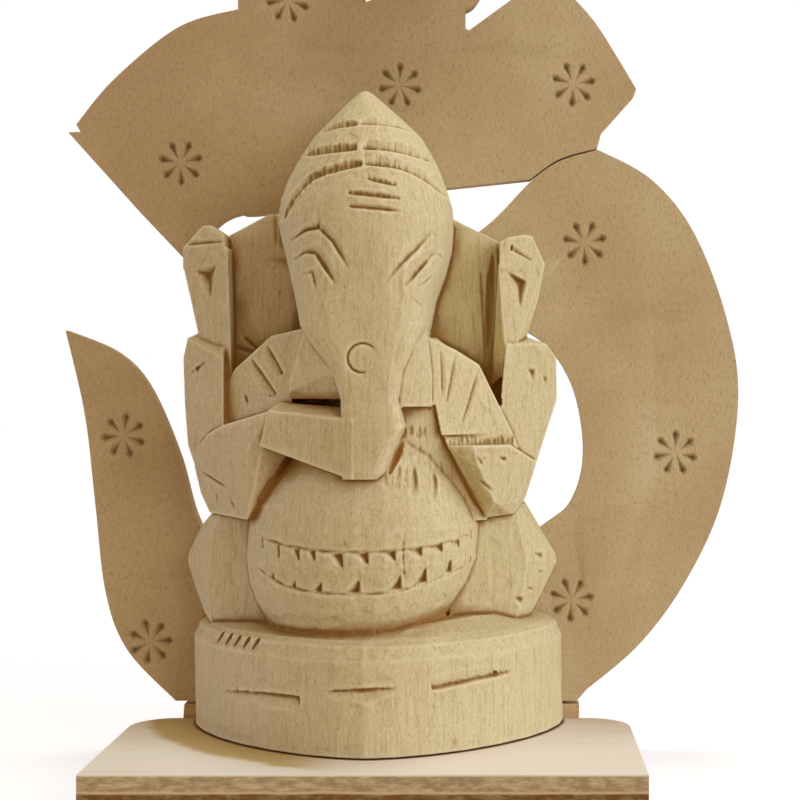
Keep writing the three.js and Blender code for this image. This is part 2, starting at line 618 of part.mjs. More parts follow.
// Rear hands: the wrist band stands between two ledges, over a hollow palm. At the right a deep cut parts the
// forearm from the slab.
function rearHandCuts(surface) {
  const ledge = { left: 1.6, right: 0.3, depth: 1.2, ends: [0.6, 0.6] };
  return [
    groove(surface, run([-58, 154.2], [-46, 154.6], 3), ledge),
    chip(surface, [[-56.6, 147], [-47.8, 147.8], [-49.6, 136.4]], [-50.2, 145.4], 3),
    groove(surface, [[35.2, 152.4], [40.3, 152.4], [46.4, 149.2]], ledge),
    chip(surface, [[39, 146], [45, 143.4], [42.8, 134.4]], [42.6, 143], 3),
    groove(surface, run([34.8, 153], [33, 121], 4), { left: 1, right: 1.8, depth: 2.4 }),
  ];
}

// Deep cuts that free the trunk and the hands from the belly and the arm from the tusk, and two gouges on the
// upper belly.
function frontCuts(surface) {
  const crease = { left: 0.9, right: 0.9, depth: 2.6, taper: 2 };
  return [
    groove(surface, [[-23.6, 92.6], [-28.4, 85.4], [-31.8, 79.8], [-34.6, 74.4]], crease),
    groove(surface, [[21.4, 93.6], [26, 85.4], [29, 78.8], [32, 74.6]], crease),
    groove(surface, run([10.4, 99.6], [5.4, 86], 2), { left: 1.2, right: 1.2, depth: 6 }),
    groove(surface, run([-22.6, 107.4], [-8.6, 107.4], 2), {
      left: 0.8,
      right: 2.2,
      depth: 3.4,
      ends: [0.6, 0.6],
    }),
    groove(surface, run([12, 91], [14, 81], 2), { left: 1.2, right: 2.4, depth: 1.4 }),
    groove(surface, run([17.6, 89.4], [19.4, 79], 2), { left: 1, right: 2, depth: 1.6 }),
  ];
}

function figure() {
  const blank = figureBlank();
  const surface = surfaceOf(blank);
  const carved = cut(blank, [
    ...crownSteps(surface),
    ...faceCuts(surface),
    trunkRing(surface),
    ...earPleats(surface),
    ...handCuts(surface),
    ...scatteredChips(surface),
    ...belt(surface),
    ...plinthCuts(surface),
    ...rearHandCuts(surface),
    ...frontCuts(surface),
  ]);
  return withoutCrumbs(carved);
}

// Whole object

function mesh(name, solid, colour, roughness) {
  const material = new THREE.MeshStandardMaterial({ color: colour, roughness, metalness: 0 });
  const piece = new THREE.Mesh(geometryOf(solid), material);
  piece.name = name;
  return piece;
}

const board = solidOf(
  new THREE.ExtrudeGeometry(boardShape(), { depth: BOARD_THICKNESS, bevelEnabled: false, curveSegments: 10 }),
);

const ganesha = new THREE.Group();
ganesha.add(
  mesh("base_board", board, 0xe3d3bd, 0.75),
  mesh("back_rail", sawn(railShape(), 12), 0xbf9a6a, 0.8),
  mesh("om_panel_lower", cut(sawn(lowerPanelShape(), 7), flowers(LOWER_FLOWERS)), 0xc8a578, 0.8),
  mesh("om_panel_upper", cut(sawn(upperPanelShape(), 7), flowers(UPPER_FLOWERS)), 0xc8a578, 0.8),
  mesh("ganesha_figure", figure(), 0xdccba6, 0.75),
);

export default ganesha;
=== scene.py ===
"""Looks of a chip-carved wooden Ganesha in front of a sawn Om panel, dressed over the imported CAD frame.

Metres. +X runs to the viewer's right, -Y towards the viewer, +Z up. The origin is the centre of the base
board's underside. Sizes of the object are held in millimetres and turned into metres with MM.
"""

import logging
import math
from dataclasses import dataclass, field
from enum import Enum

import bpy
import numpy as np
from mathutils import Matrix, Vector, kdtree
from mathutils.bvhtree import BVHTree


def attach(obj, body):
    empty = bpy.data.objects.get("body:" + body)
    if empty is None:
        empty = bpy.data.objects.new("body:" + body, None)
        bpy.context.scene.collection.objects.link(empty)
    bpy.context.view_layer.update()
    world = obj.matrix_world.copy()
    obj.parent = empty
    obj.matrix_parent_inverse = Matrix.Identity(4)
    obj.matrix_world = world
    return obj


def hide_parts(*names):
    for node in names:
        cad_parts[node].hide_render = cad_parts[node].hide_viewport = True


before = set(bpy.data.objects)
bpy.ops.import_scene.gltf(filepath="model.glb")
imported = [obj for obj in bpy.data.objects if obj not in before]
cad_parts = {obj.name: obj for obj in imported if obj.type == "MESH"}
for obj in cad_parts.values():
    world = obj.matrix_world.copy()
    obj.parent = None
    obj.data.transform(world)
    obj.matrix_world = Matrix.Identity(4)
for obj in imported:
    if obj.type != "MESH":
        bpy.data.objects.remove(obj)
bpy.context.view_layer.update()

LOG = logging.getLogger("ganesha")
MM = 0.001
BODY = "root"

# Places along Y, in millimetres
FIGURE_BACK = 36.25
PANEL_FRONT = 36.55

# Vertices of a CAD node that lie closer together than this, in millimetres, are one
MERGE_DISTANCE = 0.002
# Least length that anything is divided by
TINY = 1e-9
# Seeds of the random patterns
FACET_SEED = 11
WOBBLE_SEED = 30
FIBRE_SEED = 29
# Factors that scramble whole numbers into repeatable noise
SCRAMBLE = (73856093, 19349663, 83492791, 2654435761)
SCRAMBLE_AGAIN = 1274126177

Colour = tuple[float, float, float]
# A place [x, z] in millimetres, a broken line of places, and a range from least to most
Place = tuple[float, float]
Path = tuple[Place, ...]
Range = tuple[float, float]


class Joint(Enum):
    """How two colours are mixed."""

    MIX = "MIX"
    MULTIPLY = "MULTIPLY"


class PanelPart(Enum):
    """The two sheets of the Om outline, by their CAD nodes."""

    LOWER = "om_panel_lower"
    UPPER = "om_panel_upper"


# Mesh helpers


def select_only(piece: bpy.types.Object) -> None:
    """Select one object and make it active.

    Args:
        piece: the object to select.
    """
    if bpy.context.object and bpy.context.object.mode != "OBJECT":
        bpy.ops.object.mode_set(mode="OBJECT")
    bpy.ops.object.select_all(action="DESELECT")
    piece.select_set(True)
    bpy.context.view_layer.objects.active = piece


def merged_copy(node: str, name: str) -> bpy.types.Object:
    """Copy a CAD node into a new piece with its loose triangles merged.

    Args:
        node: name of the CAD node.
        name: name of the new piece.

    Returns:
        The new piece, at the origin, with its place in its mesh.
    """
    piece = bpy.data.objects.new(name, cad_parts[node].data.copy())
    piece.data.name = name
    piece.data.materials.clear()
    bpy.context.scene.collection.objects.link(piece)
    select_only(piece)
    bpy.ops.object.mode_set(mode="EDIT")
    bpy.ops.mesh.select_all(action="SELECT")
    bpy.ops.mesh.remove_doubles(threshold=MERGE_DISTANCE * MM)
    bpy.ops.object.mode_set(mode="OBJECT")
    return piece


def apply_modifier(piece: bpy.types.Object, kind: str, **settings: object) -> None:
    """Add a modifier with its settings and apply it.

    Args:
        piece: the piece to change.
        kind: Blender's name of the modifier type.
        settings: values of the modifier's properties.
    """
    select_only(piece)
    modifier = piece.modifiers.new(kind.title(), kind)
    for key, value in settings.items():
        setattr(modifier, key, value)
    bpy.ops.object.modifier_apply(modifier=modifier.name)


@dataclass(frozen=True)
class Arris:
    """A softened edge.

    Attributes:
        width: its width in millimetres.
        segments: number of faces across it.
        sharp: least angle in degrees of an edge that is softened.
        smooth: largest angle in degrees that is shaded smooth.
    """

    width: float
    segments: int
    sharp: float
    smooth: float


def soften(piece: bpy.types.Object, arris: Arris) -> None:
    """Soften a piece's sharp edges and shade the rest smooth.

    Args:
        piece: the piece to change.
        arris: how its edges are softened.
    """
    angle = math.radians(arris.sharp)
    width = arris.width * MM
    apply_modifier(
        piece, "BEVEL", width=width, segments=arris.segments, limit_method="ANGLE", angle_limit=angle
    )
    bpy.ops.object.shade_smooth_by_angle(angle=math.radians(arris.smooth))


def coordinates(piece: bpy.types.Object) -> np.ndarray:
    """Read the places of a mesh's vertices.

    Args:
        piece: the piece to read.

    Returns:
        Rows of x, y, z in metres.
    """
    values = np.empty(len(piece.data.vertices) * 3)
    piece.data.vertices.foreach_get("co", values)
    return values.reshape(-1, 3)


def vertex_normals(piece: bpy.types.Object) -> np.ndarray:
    """Read the unit normals of a mesh's vertices.

    Args:
        piece: the piece to read.

    Returns:
        One row for each vertex.
    """
    values = np.empty(len(piece.data.vertices) * 3, dtype=np.float32)
    piece.data.vertex_normals.foreach_get("vector", values)
    return values.reshape(-1, 3).astype(float)


def put_coordinates(piece: bpy.types.Object, places: np.ndarray) -> None:
    """Move the mesh's vertices to new places."""
    piece.data.vertices.foreach_set("co", places.ravel())
    piece.data.update()


def edge_ends(piece: bpy.types.Object) -> np.ndarray:
    """Read which vertices a mesh's edges join.

    Args:
        piece: the piece to read.

    Returns:
        The vertex numbers at both ends of every edge.
    """
    values = np.empty(len(piece.data.edges) * 2, dtype=np.int64)
    piece.data.edges.foreach_get("vertices", values)
    return values.reshape(-1, 2)


def spread(values: np.ndarray, edges: np.ndarray, rounds: int) -> np.ndarray:
    """Average values over neighbouring vertices.

    Args:
        values: one row for each vertex.
        edges: vertex numbers at both ends of every edge.
        rounds: how often the averaging is repeated.

    Returns:
        The averaged values.
    """
    count = len(values)
    degree = np.bincount(edges.ravel(), minlength=count)[:, None] + 1.0
    result = values.reshape(count, -1).astype(float)
    for _ in range(rounds):
        total = result.copy()
        for column in range(result.shape[1]):
            total[:, column] += np.bincount(edges[:, 0], result[edges[:, 1], column], count)
            total[:, column] += np.bincount(edges[:, 1], result[edges[:, 0], column], count)
        result = total / degree
    return result.reshape(values.shape)


def put_attribute(piece: bpy.types.Object, name: str, values: np.ndarray) -> None:
    """Store one number for each vertex under a name that materials read."""
    attribute = piece.data.attributes.new(name, "FLOAT", "POINT")
    attribute.data.foreach_set("value", values.astype(np.float32))


def lattice(cells: np.ndarray, seed: int) -> np.ndarray:
    """Give each whole cell of space its own repeatable random number.

    Args:
        cells: rows of whole numbers along X, Y and Z.
        seed: number that chooses one pattern.

    Returns:
        One value from -1 to 1 for each cell.
    """
    along_x, along_y, along_z, of_seed = SCRAMBLE
    mixed = cells[:, 0] * along_x ^ cells[:, 1] * along_y ^ cells[:, 2] * along_z ^ seed * of_seed
    mixed = (mixed ^ (mixed >> 13)) * SCRAMBLE_AGAIN & 0xFFFFFFFF
    mixed = (mixed ^ (mixed >> 16)) & 0xFFFF
    return mixed / 32767.5 - 1.0


def value_noise(places: np.ndarray, cell: float, seed: int) -> np.ndarray:
    """Smooth noise in space.

    Args:
        places: rows of x, y, z in metres.
        cell: size of the noise in millimetres.
        seed: number that chooses one pattern.

    Returns:
        One value from -1 to 1 for each place.
    """
    scaled = places / (cell * MM)
    low = np.floor(scaled).astype(np.int64)
    share = scaled - low
    share = share * share * (3 - 2 * share)
    total = np.zeros(len(places))
    for corner in range(8):
        step = np.array([(corner >> axis) & 1 for axis in range(3)])
        weight = np.prod(np.where(step, share, 1 - share), axis=1)
        total += weight * lattice(low + step, seed)
    return total


def finish_piece(piece: bpy.types.Object, node: str, material: bpy.types.Material) -> None:
    """Dress a refined copy and let it stand for its CAD node.

    Args:
        piece: the refined copy.
        node: the CAD node that it replaces.
        material: the material that covers it.
    """
    piece.data.materials.clear()
    piece.data.materials.append(material)
    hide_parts(node)
    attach(piece, BODY)
    LOG.info("%s: %d faces", piece.name, len(piece.data.polygons))


# Materials


@dataclass(frozen=True)
class Pattern:
    """A noise pattern on Object coordinates.

    Attributes:
        scale: number of cells in a metre.
        stretch: factors along X, Y and Z.
        detail: number of finer layers.
        rough: weight of the finer layers.
        bend: how far the pattern is warped.
        turn: angle about Y in radians.
    """

    scale: float
    stretch: tuple[float, float, float] = (1.0, 1.0, 1.0)
    detail: float = 4.0
    rough: float = 0.55
    bend: float = 0.0
    turn: float = 0.0


@dataclass(frozen=True)
class Ramp:
    """A smooth change from start to end while a value goes from low to high."""

    low: float
    high: float
    start: float = 0.0
    end: float = 1.0

    def in_metres(self) -> "Ramp":
        """Return the ramp for a value in metres, where low and high are in millimetres."""
        return Ramp(self.low * MM, self.high * MM, self.start, self.end)


@dataclass(frozen=True)
class Mark:
    """A colour and the ramp by which it comes in."""

    colour: Colour
    ramp: Ramp


class NodeSheet:
    """A material's node tree, with short calls that add and join its nodes."""

    def __init__(self, name: str) -> None:
        """Start a material with a shader and Object coordinates.

        Args:
            name: name of the material.
        """
        self.material = bpy.data.materials.new(name)
        self.material.use_nodes = True
        self.tree = self.material.node_tree
        self.shader = self.tree.nodes["Principled BSDF"]
        self.place = self.tree.nodes.new("ShaderNodeTexCoord").outputs["Object"]

    def feed(self, socket: bpy.types.NodeSocket, value: object) -> None:
        """Join a socket to another, or give it a plain value.

        Args:
            socket: the input to fill.
            value: an output, a colour or a number.
        """
        if isinstance(value, bpy.types.NodeSocket):
            self.tree.links.new(value, socket)
        elif isinstance(value, tuple) and len(value) == 3 and socket.type == "RGBA":
            socket.default_value = (*value, 1.0)
        else:
            socket.default_value = value

    def noise(self, pattern: Pattern) -> bpy.types.NodeSocket:
        """Add a noise pattern.

        Args:
            pattern: its scale, direction and layers.

        Returns:
            The pattern, from 0 to 1.
        """
        turned = self.tree.nodes.new("ShaderNodeMapping")
        turned.inputs["Scale"].default_value = pattern.stretch
        turned.inputs["Rotation"].default_value = (0.0, pattern.turn, 0.0)
        self.feed(turned.inputs["Vector"], self.place)
        node = self.tree.nodes.new("ShaderNodeTexNoise")
        self.feed(node.inputs["Vector"], turned.outputs["Vector"])
        node.inputs["Scale"].default_value = pattern.scale
        node.inputs["Detail"].default_value = pattern.detail
        node.inputs["Roughness"].default_value = pattern.rough
        node.inputs["Distortion"].default_value = pattern.bend
        return node.outputs["Fac"]

    def axis(self, name: str) -> bpy.types.NodeSocket:
        """Add a node that reads one Object coordinate.

        Args:
            name: X, Y or Z.

        Returns:
            The coordinate in metres.
        """
        node = self.tree.nodes.new("ShaderNodeSeparateXYZ")
        self.feed(node.inputs[0], self.place)
        return node.outputs[name]

    def window(self, value: bpy.types.NodeSocket, ramp: Ramp) -> bpy.types.NodeSocket:
        """Send a value through a ramp.

        Args:
            value: the value to change.
            ramp: the change.

        Returns:
            The changed value.
        """
        node = self.tree.nodes.new("ShaderNodeMapRange")
        node.interpolation_type = "SMOOTHSTEP"
        numbers = (ramp.low, ramp.high, ramp.start, ramp.end)
        for name, number in zip(("From Min", "From Max", "To Min", "To Max"), numbers):
            node.inputs[name].default_value = number
        self.feed(node.inputs["Value"], value)
        return node.outputs["Result"]

    def math(self, operation: str, a: object, b: object = 0.0, c: object = None) -> bpy.types.NodeSocket:
        """Calculate with two or three values.

        Args:
            operation: Blender's name of the calculation.
            a: first value.
            b: second value.
            c: third value, for a calculation that has one.

        Returns:
            The result.
        """
        node = self.tree.nodes.new("ShaderNodeMath")
        node.operation = operation
        self.feed(node.inputs[0], a)
        self.feed(node.inputs[1], b)
        if c is not None:
            self.feed(node.inputs[2], c)
        return node.outputs[0]

    def product(self, first: bpy.types.NodeSocket, *others: bpy.types.NodeSocket) -> bpy.types.NodeSocket:
        """Multiply values.

        Args:
            first: the first value.
            others: the values that it is multiplied by.

        Returns:
            The product.
        """
        for other in others:
            first = self.math("MULTIPLY", first, other)
        return first

    def mix(self, share: object, a: object, b: object, joint: Joint = Joint.MIX) -> bpy.types.NodeSocket:
        """Mix two colours.

        Args:
            share: share of the second colour.
            a: first colour.
            b: second colour.
            joint: how they are mixed.

        Returns:
            The mixed colour.
        """
        node = self.tree.nodes.new("ShaderNodeMix")
        node.data_type = "RGBA"
        node.blend_type = joint.value
        self.feed(node.inputs[0], share)
        self.feed(node.inputs[6], a)
        self.feed(node.inputs[7], b)
        return node.outputs[2]

    def marked(self, colour: object, value: bpy.types.NodeSocket, mark: Mark) -> bpy.types.NodeSocket:
        """Return a colour with a mark mixed in, as far as a value passes the mark's ramp."""
        return self.mix(self.window(value, mark.ramp), colour, mark.colour)

    def attribute(self, name: str) -> bpy.types.NodeSocket:
        """Add a node that reads a number stored on the mesh.

        Args:
            name: name of the attribute.

        Returns:
            The number.
        """
        node = self.tree.nodes.new("ShaderNodeAttribute")
        node.attribute_name = name
        return node.outputs["Fac"]

    def bump(
        self, height: bpy.types.NodeSocket, depth: float, strength: float, under: object = None
    ) -> bpy.types.NodeSocket:
        """Raise the surface's normal by a height pattern.

        Args:
            height: the pattern.
            depth: its depth in millimetres.
            strength: how much of it shows, from 0 to 1.
            under: another normal that lies under it, or none.

        Returns:
            The new normal.
        """
        node = self.tree.nodes.new("ShaderNodeBump")
        node.inputs["Strength"].default_value = strength
        node.inputs["Distance"].default_value = depth * MM
        self.feed(node.inputs["Height"], height)
        if under is not None:
            self.feed(node.inputs["Normal"], under)
        return node.outputs["Normal"]

    def done(self, colour: object, rough: object, normal: object) -> bpy.types.Material:
        """Join colour, roughness and normal to the shader.

        Args:
            colour: the base colour.
            rough: the roughness.
            normal: the normal.

        Returns:
            The finished material.
        """
        self.feed(self.shader.inputs["Base Color"], colour)
        self.feed(self.shader.inputs["Roughness"], rough)
        self.feed(self.shader.inputs["Normal"], normal)
        self.shader.inputs["Specular IOR Level"].default_value = 0.25
        return self.material


@dataclass(frozen=True)
class CarvedWood:
    """Pale, freshly knife-cut wood with an upright grain, painted shade in its hollows and a painted
    highlight on its ridges.

    The wood turns from rosy to yellow along X, whose ramp is in millimetres; the change is partly the wood's
    own tone and partly painted light for the differently coloured light on its two sides. The attributes
    ridge, hollow, broad, torn and shade say how the carving runs.
    """

    name: str = "carved_wood"
    rosy: Colour = (0.63, 0.525, 0.38)
    yellow: Colour = (0.66, 0.60, 0.36)
    pale: Colour = (0.80, 0.74, 0.56)
    # Brown of the painted shade in enclosed places and in broad hollows
    brown: Colour = (0.38, 0.20, 0.045)
    # Rosy-to-yellow change along X: partly the wood's own tone, partly painted light for the differently
    # coloured light on the two sides
    tone_and_painted_light_across: Ramp = Ramp(-45, 40)
    patches: Pattern = Pattern(28, (1, 1, 0.6), detail=3)
    patch_share: float = 0.7
    grain: Pattern = Pattern(1100, (1, 1, 0.08), detail=5, rough=0.6, bend=0.3)
    streak: Mark = Mark((0.50, 0.38, 0.20), Ramp(0.47, 0.68, end=0.6))
    flecks: Pattern = Pattern(2400, (1, 1, 0.4), detail=3, rough=0.6)
    dark_fleck: Mark = Mark((0.32, 0.22, 0.09), Ramp(0.54, 0.68, end=0.45))
    pale_flecks: Pattern = Pattern(1900, (1, 1, 0.3), detail=3)
    pale_fleck: Mark = Mark(pale, Ramp(0.5, 0.7, end=0.4))
    # Painted highlight: ridges and arrises are lightened where light would catch them
    ridge: Mark = Mark(pale, Ramp(0.0, 0.8, end=0.6))
    # Painted shade: places that the wood around them encloses turn brown
    enclosed: Mark = Mark(brown, Ramp(0.1, 0.5, end=0.8))
    # Painted shade in broad hollows, weaker where the wood is torn
    broad: Ramp = Ramp(0.1, 0.9, end=0.7)
    broad_where_torn: Ramp = Ramp(0.0, 0.6, 1.0, 0.4)
    torn: Mark = Mark((0.50, 0.41, 0.18), Ramp(0.1, 0.9, end=0.4))
    # Painted shade in fine hollows and cuts: deep brown, weaker where torn or deeply enclosed
    deep: Colour = (0.22, 0.105, 0.02)
    hollow: Ramp = Ramp(0.1, 0.9, end=0.9)
    hollow_where_torn: Ramp = Ramp(0.1, 0.9, 1.0, 0.35)
    hollow_where_enclosed: Ramp = Ramp(0.3, 0.6, 1.0, 0.0)
    # Painted bounce light: deeply enclosed slots turn a lighter warm orange instead of black
    painted_bounce_light: Mark = Mark((0.66, 0.36, 0.10), Ramp(0.5, 0.8, end=0.85))
    roughness: Ramp = Ramp(0.3, 0.8, 0.7, 0.9)
    grain_depth: float = 0.1
    fleck_depth: float = 0.08
    bump_share: float = 0.5

    def material(self) -> bpy.types.Material:
        """Build the material.

        Returns:
            The new material.
        """
        sheet = NodeSheet(self.name)
        grain = sheet.noise(self.grain)
        flecks = sheet.noise(self.flecks)
        colour = sheet.marked(self.ground(sheet), grain, self.streak)
        colour = sheet.marked(colour, flecks, self.dark_fleck)
        colour = sheet.marked(colour, sheet.noise(self.pale_flecks), self.pale_fleck)
        colour = self.carving(sheet, colour)
        fine = sheet.bump(grain, self.grain_depth, self.bump_share)
        normal = sheet.bump(flecks, self.fleck_depth, self.bump_share, fine)
        return sheet.done(colour, sheet.window(grain, self.roughness), normal)

    def ground(self, sheet: NodeSheet) -> bpy.types.NodeSocket:
        """Colour the bare wood, rosy at the left and yellow at the right, in soft patches; the change from
        left to right is partly the wood's own tone and partly painted light.

        Args:
            sheet: the node tree to add to.

        Returns:
            The colour.
        """
        # Left-to-right change, partly painted light
        across = sheet.window(sheet.axis("X"), self.tone_and_painted_light_across.in_metres())
        patches = sheet.noise(self.patches)
        tint = sheet.math("MULTIPLY_ADD", patches, self.patch_share, -self.patch_share / 2)
        lean = sheet.math("ADD", across, tint)
        lean.node.use_clamp = True
        return sheet.mix(lean, self.rosy, self.yellow)

    def carving(self, sheet: NodeSheet, colour: bpy.types.NodeSocket) -> bpy.types.NodeSocket:
        """Paint a highlight on ridges and shade into hollow and enclosed places, darken torn places, and
        paint a lighter bounce light into deeply enclosed slots.

        Args:
            sheet: the node tree to add to.
            colour: the colour of the plain wood.

        Returns:
            The colour of the carved wood.
        """
        shade = sheet.attribute("shade")
        torn = sheet.attribute("torn")
        # Painted highlight on ridges
        colour = sheet.marked(colour, sheet.attribute("ridge"), self.ridge)
        # Painted shade where the wood is enclosed
        colour = sheet.marked(colour, shade, self.enclosed)
        # Painted shade in broad hollows
        broad = sheet.product(
            sheet.window(sheet.attribute("broad"), self.broad),
            sheet.window(torn, self.broad_where_torn),
        )
        colour = sheet.mix(broad, colour, self.brown)
        colour = sheet.marked(colour, torn, self.torn)
        # Painted shade in fine hollows and cuts
        hollow = sheet.product(
            sheet.window(sheet.attribute("hollow"), self.hollow),
            sheet.window(torn, self.hollow_where_torn),
            sheet.window(shade, self.hollow_where_enclosed),
        )
        colour = sheet.mix(hollow, colour, self.deep)
        # Painted bounce light in deeply enclosed slots
        return sheet.marked(colour, shade, self.painted_bounce_light)


@dataclass(frozen=True)
class PanelWood:
    """Fine-textured sheet, tan, with short dark flecks that lie every way, darker towards its left, partly
    from its own tone and partly as painted shade.

    Ramps along X and Z are in millimetres. The attribute pit says how deep a place lies in a gouged flower;
    the deeper places get painted shade.
    """

    name: str = "panel_board"
    tan: Colour = (0.57, 0.45, 0.29)
    light: Colour = (0.67, 0.57, 0.40)
    dark: Colour = (0.38, 0.28, 0.14)
    clouds: Pattern = Pattern(22)
    cloudy: Ramp = Ramp(0.3, 0.7)
    speckle: Pattern = Pattern(1500, (1, 1, 0.45), detail=3, rough=0.65, turn=0.7)
    crossing: Pattern = Pattern(1400, (1, 1, 0.4), detail=3, rough=0.65, turn=-0.8)
    dark_fleck: Mark = Mark(dark, Ramp(0.52, 0.68, end=0.4))
    pale_flecks: Pattern = Pattern(1500, (0.5, 1, 1), detail=3, turn=-0.3)
    pale_fleck: Mark = Mark(light, Ramp(0.54, 0.72, end=0.45))
    bands: Pattern = Pattern(90, (0.2, 1, 1), detail=5, rough=0.6)
    dark_band: Mark = Mark(dark, Ramp(0.56, 0.75, end=0.2))
    # Darker towards the left: partly the sheet's own tone, partly painted shade for light that falls off
    # towards the left
    left_tint: Colour = (0.84, 0.77, 0.72)
    right_tint: Colour = (1.0, 1.0, 1.0)
    middle_tint: Colour = (0.74, 0.69, 0.62)
    left_to_right: Ramp = Ramp(-70, 90)
    from_middle: Ramp = Ramp(5, 60, 1.0, 0.0)
    crown_upwards: Ramp = Ramp(175, 215)
    # Painted shade in the gouged flowers, darker the deeper a place lies
    pit: Mark = Mark((0.17, 0.09, 0.03), Ramp(0.0, 1.0, end=0.85))
    roughness: Ramp = Ramp(0.3, 0.8, 0.72, 0.9)
    bump_depth: float = 0.12
    bump_share: float = 0.45

    def material(self) -> bpy.types.Material:
        """Build the material.

        Returns:
            The new material.
        """
        sheet = NodeSheet(self.name)
        speckle = sheet.noise(self.speckle)
        colour = sheet.mix(sheet.window(sheet.noise(self.clouds), self.cloudy), self.tan, self.light)
        colour = sheet.marked(colour, speckle, self.dark_fleck)
        colour = sheet.marked(colour, sheet.noise(self.crossing), self.dark_fleck)
        colour = sheet.marked(colour, sheet.noise(self.pale_flecks), self.pale_fleck)
        colour = sheet.marked(colour, sheet.noise(self.bands), self.dark_band)
        colour = sheet.mix(1.0, colour, self.tint(sheet), Joint.MULTIPLY)
        # Painted shade in the flowers' gouges
        colour = sheet.marked(colour, sheet.attribute("pit"), self.pit)
        normal = sheet.bump(speckle, self.bump_depth, self.bump_share)
        return sheet.done(colour, sheet.window(speckle, self.roughness), normal)

    def tint(self, sheet: NodeSheet) -> bpy.types.NodeSocket:
        """Darken the sheet towards its left, partly its own tone and partly painted shade, and above the
        figure's crown.

        Args:
            sheet: the node tree to add to.

        Returns:
            The colour that the wood is multiplied by.
        """
        # Darker towards the left, partly painted shade
        across = sheet.window(sheet.axis("X"), self.left_to_right.in_metres())
        near_crown = sheet.product(
            sheet.window(sheet.math("ABSOLUTE", sheet.axis("X")), self.from_middle.in_metres()),
            sheet.window(sheet.axis("Z"), self.crown_upwards.in_metres()),
        )
        return sheet.mix(near_crown, sheet.mix(across, self.left_tint, self.right_tint), self.middle_tint)


